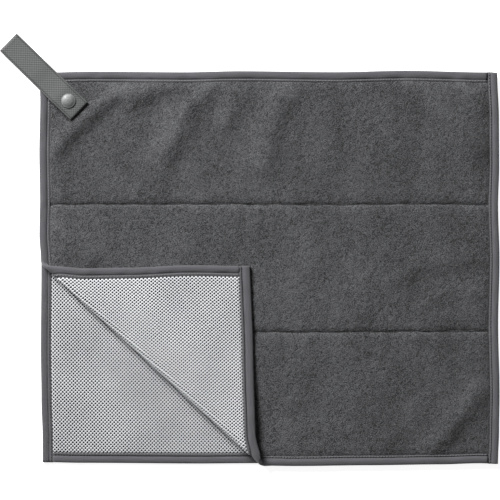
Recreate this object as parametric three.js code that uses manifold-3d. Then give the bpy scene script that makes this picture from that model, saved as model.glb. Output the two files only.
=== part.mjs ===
// A quilted terry towel of two leaves, lying flat. Each leaf is a terry panel and a mesh panel in one binding.
// The upper leaf's lower left corner is turned back, so its mesh shows, and the mesh of the lower leaf beneath.
// A strap of webbing is closed round the upper left corner with a snap.
// Millimetres, +Z up. In a leaf's own flat cloth, u runs along its width and v along its height from the
// lower left corner, and w is the height above the leaf's underside.
import * as THREE from "three";
import { mergeVertices } from "three/addons/utils/BufferGeometryUtils.js";
import Module from "manifold-3d";

const WIDTH = 470;
const HEIGHT = 403;
const GAP = 0.3;

// A leaf's layers, as heights above its mesh face: in the open field, and flattened under the binding.
const STACK = 4.0;
const TAPE = 0.8;
const MESH = { field: [0, 0.9], edge: [1.1, 1.7] };
const TERRY = { field: [1.2, 4.0], edge: [2.0, 2.9] };

// The binding folds round the edge. Its outer edge is thinner than the stack, as a rounded fold is.
const BINDING_WIDTH = 10.5;
const BINDING_WALL = 1.3;
const BINDING_NOSE = 1.1;
const NOSE_STEP = 0.3;
const PANEL_INSET = BINDING_WALL + GAP;
const FLAT_EDGE = 11;
const FULL_FIELD = 17;

// Quilt seams run across the terry at these heights.
const SEAMS = [136.7, 267.0];
const SEAM_DEPTH = 1.4;
const SEAM_REACH = 7;

// How far each edge lies inside its straight line: at is the distance along it, inset the way in.
const UPPER_EDGES = {
  left: [
    { at: 0, inset: 4.5 },
    { at: 60, inset: 3.5 },
    { at: 120, inset: 6.1 },
    { at: 165, inset: 6.7 },
    { at: 190, inset: 4.5 },
    { at: 211, inset: 1.3 },
    { at: 236, inset: -0.2 },
    { at: 272, inset: 0.4 },
    { at: 320, inset: -0.3 },
    { at: 375, inset: 0.7 },
    { at: 403, inset: 0.3 },
  ],
  bottom: [
    { at: 0, inset: 2.4 },
    { at: 70, inset: 2.3 },
    { at: 140, inset: 3.4 },
    { at: 190, inset: 3.7 },
    { at: 215, inset: 0 },
    { at: 262, inset: -0.6 },
    { at: 339, inset: 0.2 },
    { at: 411, inset: 1.1 },
    { at: 450, inset: 2.2 },
    { at: 470, inset: 1.8 },
  ],
  right: [
    { at: 0, inset: 0.1 },
    { at: 36, inset: -1.0 },
    { at: 72, inset: -1.5 },
    { at: 144, inset: -0.1 },
    { at: 211, inset: -1.4 },
    { at: 267, inset: 0 },
    { at: 308, inset: -1.1 },
    { at: 355, inset: -0.9 },
    { at: 403, inset: 0.9 },
  ],
  top: [
    { at: 0, inset: 0.3 },
    { at: 56, inset: -0.8 },
    { at: 149, inset: -0.2 },
    { at: 205, inset: -1.3 },
    { at: 303, inset: -0.3 },
    { at: 375, inset: -1.7 },
    { at: 462, inset: 0 },
    { at: 470, inset: 0.7 },
  ],
};
const LOWER_EDGES = {
  left: [
    { at: 0, inset: 2.8 },
    { at: 26, inset: 2.7 },
    { at: 67, inset: 1.5 },
    { at: 118, inset: 0.9 },
    { at: 200, inset: 1.4 },
    { at: 403, inset: 2 },
  ],
  bottom: [
    { at: 0, inset: 3.1 },
    { at: 41, inset: 2.3 },
    { at: 164, inset: 1.6 },
    { at: 215, inset: 1.9 },
    { at: 470, inset: 2 },
  ],
  right: [
    { at: 0, inset: 2 },
    { at: 403, inset: 2 },
  ],
  top: [
    { at: 0, inset: 2 },
    { at: 470, inset: 2 },
  ],
};

// The upper leaf lies a little above the lower one, on the strap's end at the corner, with soft ridges.
const LEAF_REST = STACK + 1.0;
const CORNER_LIFT = 1.0;
const CORNER_LIFT_FULL = 48;
const CORNER_LIFT_ENDS = 85;
const EDGE_CALM = 30;
const EDGE_RISE = 0.1;
const RIDGES = [
  { rise: 3.4, reach: 9.5, path: [[17, 324], [41, 350], [74, 378], [120, 394]] },
  { rise: 2.4, reach: 9, path: [[96, 371], [113, 382], [136, 390]] },
  { rise: 3.4, reach: 13, path: [[134, 326], [144, 345], [152, 362], [172, 390]] },
  { rise: 1.8, reach: 9, path: [[193, 352], [200, 378]] },
  { rise: 3.6, reach: 15, path: [[228, 308], [234, 339], [241, 360], [250, 382]] },
  { rise: 3.8, reach: 13, path: [[381, 390], [394, 377], [423, 347], [450, 322]] },
  { rise: 2.6, reach: 9, path: [[432, 390], [444, 379], [453, 366]] },
  { rise: 3.4, reach: 12, path: [[404, 19], [425, 45], [450, 72]] },
  { rise: 1.4, reach: 12, path: [[354, 18], [375, 41], [388, 62]] },
  { rise: 1.3, reach: 9, path: [[372, 194], [395, 207], [452, 213]] },
  { rise: 1.3, reach: 9, path: [[395, 165], [415, 176], [452, 178]] },
  { rise: 2.4, reach: 9, path: [[22, 244], [32, 233], [53, 213]] },
];

// The turned-back corner: where its crease meets the left and bottom edges, and the roll's outer radius there.
const CREASE_LEFT = 208.1;
const CREASE_BOTTOM = 227.6;
const ROLL_LEFT = 4.6;
const ROLL_BOTTOM = 6.8;
const ROLL_STEPS = 8;
const FLAP_REST = 2 * STACK + GAP;
const SETTLE_BASE = 20;
const SETTLE_SHARE = 18;
const SETTLE_STEPS = 3;
const FLAP_SHEAR = 0.127;
const FLAP_TAKE_UP = 0.036;

// Grid spacings of the cloth, finer where the upper leaf has its ridges.
const FINE = 16;
const MIDDLE = 30;
const COARSE = 66;
const RIDGES_FROM = 300;
const SNAP_TO_CUT = 0.4;

// The strap: its loop end's centre in plan, its direction, width and webbing's thickness.
// Its path is a side view from the end between the leaves, out round the loop and over to the turned-under
// free end. Each row is the distance from the loop end and the height over the floor.
const LOOP_END = [-31.9, 434.3];
const STRAP_TURN = THREE.MathUtils.degToRad(-44.2);
const STRAP_WIDTH = 24;
const WEBBING = 1.3;
const SNAP_AT = 85.8;
const STRAP_PATH = [
  [78, 5.0], [60, 5.0], [46, 5.0], [30, 4.6], [14, 4.0], [5, 3.62], [2.55, 3.6], [1.2, 4.16], [0.65, 5.5],
  [1.2, 6.84], [2.55, 7.4], [5, 7.45], [14, 8.0], [30, 9.4], [44, 10.75], [54, 11.1], [66, 12.3], [76, 13.8],
  [80, 13.95], [92, 13.95], [100.3, 13.95], [101.1, 13.6], [101.15, 12.7], [100.3, 12.35], [93.5, 12.35],
];
const STRAP_STEPS = 60;

// The snap's radii, and heights above the floor, from the cap on the webbing down to the stud's flange.
const TERRY_TOP = LEAF_REST + CORNER_LIFT + STACK;
const STUD_CLEAR = 0.5;
const CAP = { radius: 7.3, lip: 6.8, low: 14.9, rim: 15.5, top: 17.3, post: 2.0, postEnd: 12.4 };
const DOME_TURNS = [0, 22.5, 45, 67.5, 82.8];
const SOCKET = { radius: 6, low: 11.4, plate: 12.4, top: 13.0, hole: 2.3, cavity: 3.2 };
const STUD_LOW = TERRY_TOP + STUD_CLEAR;
const STUD = { radius: 6, low: STUD_LOW, plate: 0.6, neck: 2.4, ball: 2.9, widest: 0.45, top: 12 };
const STEM = { radius: 1.7, flange: 4.5, flangeLow: 5.1, flangeTop: 5.7 };
const POST_HOLE = 2.3;
const ROUND = 24;
const SAME_POINT = 1e-4;

const wasm = await Module();
wasm.setup();

const finishes = {
  terry: new THREE.MeshStandardMaterial({ color: 0x535356, roughness: 1 }),
  mesh: new THREE.MeshStandardMaterial({ color: 0xc9cbd0, roughness: 0.8 }),
  binding: new THREE.MeshStandardMaterial({ color: 0x5c5c61, roughness: 0.8 }),
  webbing: new THREE.MeshStandardMaterial({ color: 0x6c6e6e, roughness: 0.9 }),
  metal: new THREE.MeshStandardMaterial({ color: 0x9a9c9c, roughness: 0.35, metalness: 0.9 }),
};

function smooth(share) {
  const x = THREE.MathUtils.clamp(share, 0, 1);
  return x * x * (3 - 2 * x);
}

// The inset at a place between two rows of an edge's table.
function insetAt(rows, place) {
  const last = rows.length - 2;
  const found = rows.findIndex((row, i) => i <= last && place < rows[i + 1].at);
  const i = found < 0 ? last : found;
  const share = smooth((place - rows[i].at) / (rows[i + 1].at - rows[i].at));
  return THREE.MathUtils.lerp(rows[i].inset, rows[i + 1].inset, share);
}

// Where a point of the flat cloth lies in plan, with the edges as uneven as they are.
function layOut(edges, u, v) {
  const across = u / WIDTH;
  const up = v / HEIGHT;
  const left = insetAt(edges.left, v) * (1 - across) ** 2;
  const right = insetAt(edges.right, v) * across ** 2;
  const bottom = insetAt(edges.bottom, u) * (1 - up) ** 2;
  const top = insetAt(edges.top, u) * up ** 2;
  return [u + left - right, v + bottom - top];
}

function distanceToPath(x, y, path) {
  let nearest = Infinity;
  for (let i = 1; i < path.length; i += 1) {
    const [ax, ay] = path[i - 1];
    const [bx, by] = path[i];
    const length = (bx - ax) ** 2 + (by - ay) ** 2;
    const share = THREE.MathUtils.clamp(((x - ax) * (bx - ax) + (y - ay) * (by - ay)) / length, 0, 1);
    nearest = Math.min(nearest, Math.hypot(x - ax - share * (bx - ax), y - ay - share * (by - ay)));
  }
  return nearest;
}

// The height of the upper leaf's underside over the floor at a place in plan.
function leafHeight(x, y) {
  const toEdge = Math.min(x, WIDTH - x, y, HEIGHT - y);
  const calm = EDGE_RISE + (1 - EDGE_RISE) * smooth(toEdge / EDGE_CALM);
  let ridges = 0;
  for (const { rise, reach, path } of RIDGES) {
    ridges += rise * Math.exp(-((distanceToPath(x, y, path) / reach) ** 2));
  }
  const fromCorner = Math.hypot(x, y - HEIGHT);
  const lift = 1 - smooth((fromCorner - CORNER_LIFT_FULL) / (CORNER_LIFT_ENDS - CORNER_LIFT_FULL));
  return LEAF_REST + CORNER_LIFT * lift + ridges * calm;
}

// The crease's own axes in plan: along it from the left edge down to the bottom edge, and away from the corner.
const creaseLength = Math.hypot(CREASE_LEFT, CREASE_BOTTOM);
const along = [CREASE_BOTTOM / creaseLength, -CREASE_LEFT / creaseLength];
const away = [CREASE_LEFT / creaseLength, CREASE_BOTTOM / creaseLength];

function rollRadius(s) {
  return THREE.MathUtils.lerp(ROLL_LEFT, ROLL_BOTTOM, THREE.MathUtils.clamp(s / creaseLength, -0.1, 1.1));
}

// Turns the corner back: over a roll, then down on to the terry, where it lies with a little shear.
function turnBack(x, y, w) {
  const s = along[0] * x + along[1] * (y - CREASE_LEFT);
  const d = away[0] * x + away[1] * (y - CREASE_LEFT);
  const radius = rollRadius(s);
  const past = radius - d;
  if (past <= 0) return [x, y, w];
  const middle = radius - STACK / 2;
  const turn = Math.min(past / middle, Math.PI);
  const beyond = Math.max(past - Math.PI * middle, 0);
  const drop = 2 * radius - FLAP_REST;
  const settled = smooth(beyond / (SETTLE_BASE + SETTLE_SHARE * drop));
  const n = radius - (radius - w) * Math.sin(turn) + beyond - FLAP_TAKE_UP * past;
  const slid = s + FLAP_SHEAR * past;
  const z = radius - (radius - w) * Math.cos(turn) - drop * settled;
  return [along[0] * slid + away[0] * n, CREASE_LEFT + along[1] * slid + away[1] * n, z];
}

const upperLeaf = {
  meshUp: false,
  bottomOverLeft: true,
  place(u, v, w) {
    const [x, y, z] = turnBack(...layOut(UPPER_EDGES, u, v), w);
    return [x, y, z + leafHeight(x, y)];
  },
};
const lowerLeaf = {
  meshUp: true,
  bottomOverLeft: false,
  place: (u, v, w) => [...layOut(LOWER_EDGES, u, v), w],
};

// A cut is a straight line in the flat cloth: u times its u plus v times its v equals its at.
function cutsAcross(key, from, to, spacing) {
  const steps = Math.round((to - from) / spacing);
  const cuts = [];
  for (let i = 1; i < steps; i += 1) {
    cuts.push({ u: key === "u" ? 1 : 0, v: key === "v" ? 1 : 0, at: from + ((to - from) * i) / steps });
  }
  return cuts;
}

// Lines of equal turn round the roll, then lines across the stretch where the flap comes down.
function creaseCuts() {
  const pastAt = (radius, step) => {
    const middle = radius - STACK / 2;
    if (step <= ROLL_STEPS) return (Math.PI * middle * step) / ROLL_STEPS;
    const settle = SETTLE_BASE + SETTLE_SHARE * (2 * radius - FLAP_REST);
    return Math.PI * middle + (settle * (step - ROLL_STEPS)) / SETTLE_STEPS;
  };
  const cuts = [];
  for (let step = 0; step <= ROLL_STEPS + SETTLE_STEPS; step += 1) {
    const start = ROLL_LEFT - pastAt(ROLL_LEFT, step);
    const end = ROLL_BOTTOM - pastAt(ROLL_BOTTOM, step);
    const lean = (end - start) / creaseLength;
    const u = away[0] - lean * along[0];
    const v = away[1] - lean * along[1];
    cuts.push({ u, v, at: start + v * CREASE_LEFT });
  }
  return cuts;
}

const seamLines = SEAMS.flatMap((seam) => [seam - SEAM_REACH, seam, seam + SEAM_REACH]);
const seamCuts = seamLines.map((at) => ({ u: 0, v: 1, at }));
const upperCuts = [
  ...seamCuts,
  ...cutsAcross("u", FULL_FIELD, WIDTH - FULL_FIELD, FINE),
  ...cutsAcross("v", FULL_FIELD, RIDGES_FROM, MIDDLE),
  { u: 0, v: 1, at: RIDGES_FROM },
  ...cutsAcross("v", RIDGES_FROM, HEIGHT - FULL_FIELD, FINE),
  ...creaseCuts(),
];
const lowerCuts = [...cutsAcross("u", 0, WIDTH, COARSE), ...cutsAcross("v", 0, HEIGHT, COARSE)];

function ringCuts(inset) {
  return [
    { u: 1, v: 0, at: inset },
    { u: 1, v: 0, at: WIDTH - inset },
    { u: 0, v: 1, at: inset },
    { u: 0, v: 1, at: HEIGHT - inset },
  ];
}

// Splits a convex polygon along a cut. A corner very near the cut counts as on it, so no sliver is left.
function split(polygon, cut) {
  const sides = polygon.map(([u, v]) => cut.u * u + cut.v * v - cut.at);
  if (!sides.some((side) => side > SNAP_TO_CUT) || !sides.some((side) => side < -SNAP_TO_CUT)) return [polygon];
  const over = [];
  const under = [];
  polygon.forEach((point, i) => {
    const next = (i + 1) % polygon.length;
    if (sides[i] >= -SNAP_TO_CUT) over.push(point);
    if (sides[i] <= SNAP_TO_CUT) under.push(point);
    const nearer = Math.min(Math.abs(sides[i]), Math.abs(sides[next]));
    if (sides[i] * sides[next] >= 0 || nearer <= SNAP_TO_CUT) return;
    const share = sides[i] / (sides[i] - sides[next]);
    const crossing = point.map((value, axis) => THREE.MathUtils.lerp(value, polygon[next][axis], share));
    over.push(crossing);
    under.push(crossing);
  });
  return [over, under];
}

function region(low, high, cuts) {
  const [u0, v0] = low;
  const [u1, v1] = high;
  let polygons = [[[u0, v0], [u1, v0], [u1, v1], [u0, v1]]];
  for (const cut of cuts) polygons = polygons.flatMap((polygon) => split(polygon, cut));
  return polygons;
}

const keyOf = ([u, v]) => u.toFixed(3) + " " + v.toFixed(3);

// The directed edges that only one polygon of the region has.
function rimOf(polygons) {
  const edges = new Map();
  for (const polygon of polygons) {
    polygon.forEach((a, i) => {
      const b = polygon[(i + 1) % polygon.length];
      edges.set(keyOf(a) + ">" + keyOf(b), [a, b]);
    });
  }
  return new Map([...edges].filter(([, [a, b]]) => !edges.has(keyOf(b) + ">" + keyOf(a))));
}

function triangleArea([au, av], [bu, bv], [cu, cv]) {
  return ((bu - au) * (cv - av) - (cu - au) * (bv - av)) / 2;
}

// Fans a convex polygon from the corner that leaves the largest smallest triangle.
function fan(polygon) {
  let best = null;
  let bestSmallest = -Infinity;
  for (let start = 0; start < polygon.length; start += 1) {
    const corners = [...polygon.slice(start), ...polygon.slice(0, start)];
    const triangles = corners.slice(2).map((corner, i) => [corners[0], corners[i + 1], corner]);
    const smallest = Math.min(...triangles.map((triangle) => triangleArea(...triangle)));
    if (smallest > bestSmallest) {
      best = triangles;
      bestSmallest = smallest;
    }
  }
  return best;
}

// Collects the triangles of one closed body in a leaf, from points (u, v) and heights w.
class Body {
  constructor(leaf) {
    this.leaf = leaf;
    this.coordinates = [];
  }

  triangle(a, b, c) {
    this.coordinates.push(...a, ...b, ...c);
  }

  face(polygons, height, up) {
    for (const [a, b, c] of polygons.flatMap(fan)) {
      const [pa, pb, pc] = [a, b, c].map(([u, v]) => this.leaf.place(u, v, height(u, v)));
      this.triangle(pa, up ? pb : pc, up ? pc : pb);
    }
  }

  wall([a, b], low, high) {
    const [aLow, bLow] = [a, b].map(([u, v]) => this.leaf.place(u, v, low(u, v)));
    const [aHigh, bHigh] = [a, b].map(([u, v]) => this.leaf.place(u, v, high(u, v)));
    this.triangle(aLow, bLow, bHigh);
    this.triangle(aLow, bHigh, aHigh);
  }

  geometry() {
    const made = new THREE.BufferGeometry();
    made.setAttribute("position", new THREE.Float32BufferAttribute(this.coordinates, 3));
    return welded(made);
  }
}

function toEdge(u, v) {
  return Math.min(u, WIDTH - u, v, HEIGHT - v);
}

// 0 under the binding, 1 in the open field.
function fieldShare(u, v) {
  return smooth((toEdge(u, v) - FLAT_EDGE) / (FULL_FIELD - FLAT_EDGE));
}

// A layer lies flat under the binding and thickens to its full height in the field. Side 0 is its mesh side.
function layerHeight(layer, side) {
  return (u, v) => THREE.MathUtils.lerp(layer.edge[side], layer.field[side], fieldShare(u, v));
}

// The terry's face is drawn down along the quilt seams.
function quiltedFace(u, v) {
  const nearest = Math.min(...SEAMS.map((seam) => Math.abs(v - seam)));
  const sunk = smooth(1 - nearest / SEAM_REACH) * fieldShare(u, v);
  return layerHeight(TERRY, 1)(u, v) - SEAM_DEPTH * sunk;
}

function panel(leaf, cuts, low, high) {
  const rings = [...ringCuts(FLAT_EDGE), ...ringCuts(FULL_FIELD)];
  const corner = [WIDTH - PANEL_INSET, HEIGHT - PANEL_INSET];
  const polygons = region([PANEL_INSET, PANEL_INSET], corner, [...rings, ...cuts]);
  const under = leaf.meshUp ? (u, v) => STACK - high(u, v) : low;
  const over = leaf.meshUp ? (u, v) => STACK - low(u, v) : high;
  const body = new Body(leaf);
  body.face(polygons, over, true);
  body.face(polygons, under, false);
  for (const edge of rimOf(polygons).values()) body.wall(edge, under, over);
  return body.geometry();
}

// The left and right lengths run to the corners, and the others stop short of them. At the corner that is
// turned back the bottom length runs on instead.
function bindingEnds(leaf, side) {
  const upright = side === "left" || side === "right";
  const span = upright ? HEIGHT : WIDTH;
  const short = [BINDING_WIDTH + GAP, span - BINDING_WIDTH - GAP];
  const swapped = leaf.bottomOverLeft && (side === "left" || side === "bottom");
  return [upright === swapped ? short[0] : 0, upright ? span : short[1]];
}

// A length of binding is a slab with a pocket for the panels, open on its inner side.
function binding(leaf, cuts, side) {
  const upright = side === "left" || side === "right";
  const start = side === "left" || side === "bottom" ? 0 : (upright ? WIDTH : HEIGHT) - BINDING_WIDTH;
  const wallAt = start === 0 ? BINDING_WALL : start + BINDING_WIDTH - BINDING_WALL;
  const pocketSpan = start === 0 ? [wallAt, BINDING_WIDTH] : [start, wallAt];
  const ends = bindingEnds(leaf, side);
  const farWall = (upright ? HEIGHT : WIDTH) - BINDING_WALL;
  const pocketEnds = [Math.max(ends[0], BINDING_WALL), Math.min(ends[1], farWall)];
  const corner = (across, lengthwise) => (upright ? [across, lengthwise] : [lengthwise, across]);
  const cutOver = (acrossIt, at) => ({ u: acrossIt === upright ? 1 : 0, v: acrossIt === upright ? 0 : 1, at });
  const wallCuts = [cutOver(true, wallAt), ...pocketEnds.map((at) => cutOver(false, at))];
  const whole = region(corner(start, ends[0]), corner(start + BINDING_WIDTH, ends[1]), [...wallCuts, ...cuts]);
  const inPocket = (polygon) =>
    polygon.every(([u, v]) => {
      const [across, lengthwise] = upright ? [u, v] : [v, u];
      const within = (value, [low, high]) => value > low - SNAP_TO_CUT && value < high + SNAP_TO_CUT;
      return within(across, pocketSpan) && within(lengthwise, pocketEnds);
    });
  const pocket = whole.filter(inPocket);
  const under = (u, v) => BINDING_NOSE * (1 - Math.min(toEdge(u, v) / BINDING_WALL, 1));
  const over = (u, v) => STACK - under(u, v);
  const pocketLow = (u, v) => Math.max(TAPE, under(u, v) + NOSE_STEP);
  const pocketHigh = (u, v) => Math.min(STACK - TAPE, over(u, v) - NOSE_STEP);
  const body = new Body(leaf);
  body.face(whole, over, true);
  body.face(whole, under, false);
  body.face(pocket, pocketHigh, false);
  body.face(pocket, pocketLow, true);
  const wholeRim = rimOf(whole);
  const pocketRim = rimOf(pocket);
  for (const [key, edge] of wholeRim) {
    body.wall(edge, under, pocketLow);
    body.wall(edge, pocketHigh, over);
    if (!pocketRim.has(key)) body.wall(edge, pocketLow, pocketHigh);
  }
  for (const [key, [a, b]] of pocketRim) {
    if (!wholeRim.has(key)) body.wall([b, a], pocketLow, pocketHigh);
  }
  return body.geometry();
}

// Only a geometry's places, with the points that faces share merged.
function welded(geometry) {
  const plain = new THREE.BufferGeometry();
  plain.setAttribute("position", geometry.getAttribute("position"));
  plain.setIndex(geometry.index);
  return mergeVertices(plain, SAME_POINT);
}

function toSolid(geometry) {
  const { attributes, index } = welded(geometry);
  const vertProperties = new Float32Array(attributes.position.array);
  const triVerts = new Uint32Array(index.array);
  return new wasm.Manifold(new wasm.Mesh({ numProp: 3, vertProperties, triVerts }));
}

function fromSolid(solid) {
  const { vertProperties, triVerts } = solid.getMesh();
  const geometry = new THREE.BufferGeometry();
  geometry.setAttribute("position", new THREE.Float32BufferAttribute(vertProperties, 3));
  return geometry.setIndex(new THREE.BufferAttribute(triVerts, 1));
}

// Cuts a round hole for a snap's post through a piece, with the drill given in the piece's own axes.
function drilled(geometry, drill) {
  return fromSolid(toSolid(geometry).subtract(toSolid(drill)));
}

function named(name, geometry, finish) {
  geometry.computeVertexNormals();
  const mesh = new THREE.Mesh(geometry, finish);
  mesh.name = name;
  return mesh;
}

// The webbing in side view: a closed ribbon round its path, pushed out to the strap's width.
function strapGeometry() {
  const points = STRAP_PATH.map(([a, z]) => new THREE.Vector3(a, z, 0));
  const curve = new THREE.CatmullRomCurve3(points, false, "centripetal");
  const ribbon = [];
  const back = [];
  for (let i = 0; i <= STRAP_STEPS; i += 1) {
    const share = i / STRAP_STEPS;
    const at = curve.getPoint(share);
    const heading = curve.getTangent(share);
    const out = new THREE.Vector2(-heading.y, heading.x).multiplyScalar(WEBBING / 2);
    ribbon.push(new THREE.Vector2(at.x + out.x, at.y + out.y));
    back.unshift(new THREE.Vector2(at.x - out.x, at.y - out.y));
  }
  const shape = new THREE.Shape([...ribbon, ...back]);
  const geometry = new THREE.ExtrudeGeometry(shape, { depth: STRAP_WIDTH, bevelEnabled: false });
  return welded(geometry.translate(0, 0, -STRAP_WIDTH / 2));
}

function turned(profile) {
  const points = profile.map(([radius, height]) => new THREE.Vector2(radius, height));
  return welded(new THREE.LatheGeometry(points, ROUND));
}

// The cap is a low dome on a post that goes down through the webbing.
function capGeometry() {
  const { radius, lip, low, rim, top, post, postEnd } = CAP;
  const dome = DOME_TURNS.map((degrees) => {
    const angle = THREE.MathUtils.degToRad(degrees);
    return [radius * Math.cos(angle), rim + (top - rim) * Math.sin(angle)];
  });
  return turned([[0, postEnd], [post, postEnd], [post, low], [lip, low], ...dome, [0, top]]);
}

function socketGeometry() {
  const { radius, low, plate, top, hole, cavity } = SOCKET;
  return turned([
    [cavity, low], [radius, low], [radius, top], [hole, top], [hole, plate], [cavity, plate], [cavity, low],
  ]);
}

// The stud stands on the terry. Its stem goes down through the leaf to a flange on the mesh side.
function studGeometry() {
  const { radius, low, plate, neck, ball, widest, top } = STUD;
  const { radius: stem, flange, flangeLow, flangeTop } = STEM;
  const over = low + plate;
  return turned([
    [0, flangeLow], [flange, flangeLow], [flange, flangeTop], [stem, flangeTop], [stem, low],
    [radius, low], [radius, over], [neck, over], [ball, over + widest], [neck, top], [0, top],
  ]);
}

const strapHead = [Math.cos(STRAP_TURN), Math.sin(STRAP_TURN)];
const snapPlace = [LOOP_END[0] + SNAP_AT * strapHead[0], LOOP_END[1] + SNAP_AT * strapHead[1]];

// A drill through the whole leaf at the snap, in the towel's own axes.
function leafDrill() {
  const drill = new THREE.CylinderGeometry(POST_HOLE, POST_HOLE, 4 * STACK, ROUND);
  drill.rotateX(Math.PI / 2);
  return drill.translate(snapPlace[0], snapPlace[1], TERRY_TOP);
}

function strapDrill() {
  const drill = new THREE.CylinderGeometry(POST_HOLE, POST_HOLE, 3 * WEBBING, ROUND);
  return drill.translate(SNAP_AT, SOCKET.top + GAP + WEBBING / 2, 0);
}

const towel = new THREE.Group();
const SIDES = ["left", "right", "top", "bottom"];

const meshFaces = [layerHeight(MESH, 0), layerHeight(MESH, 1)];
const upperMesh = panel(upperLeaf, upperCuts, ...meshFaces);
const upperTerry = panel(upperLeaf, upperCuts, layerHeight(TERRY, 0), quiltedFace);
const lowerMesh = panel(lowerLeaf, lowerCuts, ...meshFaces);
const lowerTerry = panel(lowerLeaf, lowerCuts, layerHeight(TERRY, 0), layerHeight(TERRY, 1));
towel.add(named("upper_mesh", drilled(upperMesh, leafDrill()), finishes.mesh));
towel.add(named("upper_terry", drilled(upperTerry, leafDrill()), finishes.terry));
towel.add(named("lower_mesh", lowerMesh, finishes.mesh));
towel.add(named("lower_terry", lowerTerry, finishes.terry));
for (const side of SIDES) {
  towel.add(named("upper_binding_" + side, binding(upperLeaf, upperCuts, side), finishes.binding));
  towel.add(named("lower_binding_" + side, binding(lowerLeaf, lowerCuts, side), finishes.binding));
}

// The strap's own group: x along it from the loop end. Its pieces are modelled y up, so each is tipped upright.
const strapGroup = new THREE.Group();
strapGroup.position.set(LOOP_END[0], LOOP_END[1], 0);
strapGroup.rotation.z = STRAP_TURN;
const strap = named("strap", drilled(strapGeometry(), strapDrill()), finishes.webbing);
const cap = named("snap_cap", capGeometry(), finishes.metal);
const socket = named("snap_socket", socketGeometry(), finishes.metal);
const stud = named("snap_stud", studGeometry(), finishes.metal);
for (const piece of [strap, cap, socket, stud]) {
  piece.rotation.x = Math.PI / 2;
  strapGroup.add(piece);
}
for (const piece of [cap, socket, stud]) piece.position.x = SNAP_AT;
towel.add(strapGroup);

// The origin is at the middle of the whole thing's plan, on the floor.
towel.updateMatrixWorld(true);
const centre = new THREE.Box3().setFromObject(towel, true).getCenter(new THREE.Vector3());
towel.position.set(-centre.x, -centre.y, 0);

export default towel;
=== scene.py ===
"""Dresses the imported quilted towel: terry pile, mesh, bound edges, stitching, webbing strap and snap."""

import logging
import math
from dataclasses import dataclass, field
from enum import Enum
from typing import Callable

import bpy
import numpy as np
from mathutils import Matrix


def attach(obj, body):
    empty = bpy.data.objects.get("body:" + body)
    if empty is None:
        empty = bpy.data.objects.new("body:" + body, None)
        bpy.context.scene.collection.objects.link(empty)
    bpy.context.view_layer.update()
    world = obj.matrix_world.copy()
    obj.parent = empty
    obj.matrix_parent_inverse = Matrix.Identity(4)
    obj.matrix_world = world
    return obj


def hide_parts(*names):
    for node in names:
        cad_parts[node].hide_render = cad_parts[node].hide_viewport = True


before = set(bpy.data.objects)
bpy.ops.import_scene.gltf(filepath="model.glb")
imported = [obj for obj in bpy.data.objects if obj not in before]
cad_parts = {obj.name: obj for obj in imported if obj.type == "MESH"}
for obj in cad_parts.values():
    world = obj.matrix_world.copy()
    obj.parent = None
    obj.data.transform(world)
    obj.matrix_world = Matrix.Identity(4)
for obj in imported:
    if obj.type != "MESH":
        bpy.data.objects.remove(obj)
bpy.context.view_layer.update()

log = logging.getLogger("towel")
Array = np.ndarray
MM = 0.001

# The leaf's flat cloth, in millimetres: u along its width, v along its height, and a height over its mesh
# face. The plan's middle is where the part's own frame has its origin.
WIDTH = 470.0
HEIGHT = 403.0
STACK = 4.0
PLAN_MIDDLE = (215.594, 221.08)
SEAMS = (136.7, 267.0)

# The strap's far end and direction in plan, and the snap's place out from that end.
LOOP_END = (-31.9, 434.3)
STRAP_TURN = math.radians(-44.2)
SNAP_OUT = 87.2
SNAP_TURN = math.radians(-44.5)


class Face(Enum):
    """The two faces of a leaf."""

    TERRY = "terry"
    MESH = "mesh"


class Side(Enum):
    """The four edges of a leaf."""

    LEFT = "left"
    RIGHT = "right"
    TOP = "top"
    BOTTOM = "bottom"

    @property
    def upright(self) -> bool:
        """Whether the edge runs up the cloth."""
        return self in (Side.LEFT, Side.RIGHT)

    @property
    def span(self) -> float:
        """The edge's length."""
        return HEIGHT if self.upright else WIDTH

    def cloth_point(self, lengthwise: Array, inward: Array) -> tuple[Array, Array]:
        """Turns a place along the edge and a distance in from it into cloth places.

        Args:
            lengthwise: The distance along the edge from its lower or left end.
            inward: The distance in from the edge.

        Returns:
            The places u and v.
        """
        if self is Side.LEFT:
            return inward, lengthwise
        if self is Side.RIGHT:
            return WIDTH - inward, lengthwise
        if self is Side.TOP:
            return lengthwise, HEIGHT - inward
        return lengthwise, inward


def smooth(share: Array) -> Array:
    """Eases a share from 0 to 1."""
    x = np.clip(share, 0, 1)
    return x * x * (3 - 2 * x)


def to_edge(u: Array, v: Array) -> Array:
    """The distance to the leaf's nearest edge."""
    return np.minimum(np.minimum(u, WIDTH - u), np.minimum(v, HEIGHT - v))


def distance_to_path(x: Array, y: Array, path: tuple[tuple[float, float], ...]) -> Array:
    """The distance from each place to a line of straight runs.

    Args:
        x: Places in plan, across.
        y: Places in plan, up.
        path: The line's corners.

    Returns:
        The distances.
    """
    nearest = np.full(x.shape, np.inf)
    for (ax, ay), (bx, by) in zip(path, path[1:]):
        length = (bx - ax) ** 2 + (by - ay) ** 2
        share = np.clip(((x - ax) * (bx - ax) + (y - ay) * (by - ay)) / length, 0, 1)
        reached = np.hypot(x - ax - share * (bx - ax), y - ay - share * (by - ay))
        nearest = np.minimum(nearest, reached)
    return nearest


def value_noise(x: Array, y: Array, rng: np.random.Generator) -> Array:
    """A smooth noise of about -1 to 1 whose cells are one unit wide.

    Args:
        x: Places across, in cells.
        y: Places up, in cells.
        rng: Where the noise's values come from.

    Returns:
        The noise at each place.
    """
    column, row = np.floor(x - x.min()).astype(int), np.floor(y - y.min()).astype(int)
    right, up = smooth(x - x.min() - column), smooth(y - y.min() - row)
    lattice = rng.uniform(-1, 1, (row.max() + 2, column.max() + 2))
    low = lattice[row, column] * (1 - right) + lattice[row, column + 1] * right
    high = lattice[row + 1, column] * (1 - right) + lattice[row + 1, column + 1] * right
    return low * (1 - up) + high * up


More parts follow.
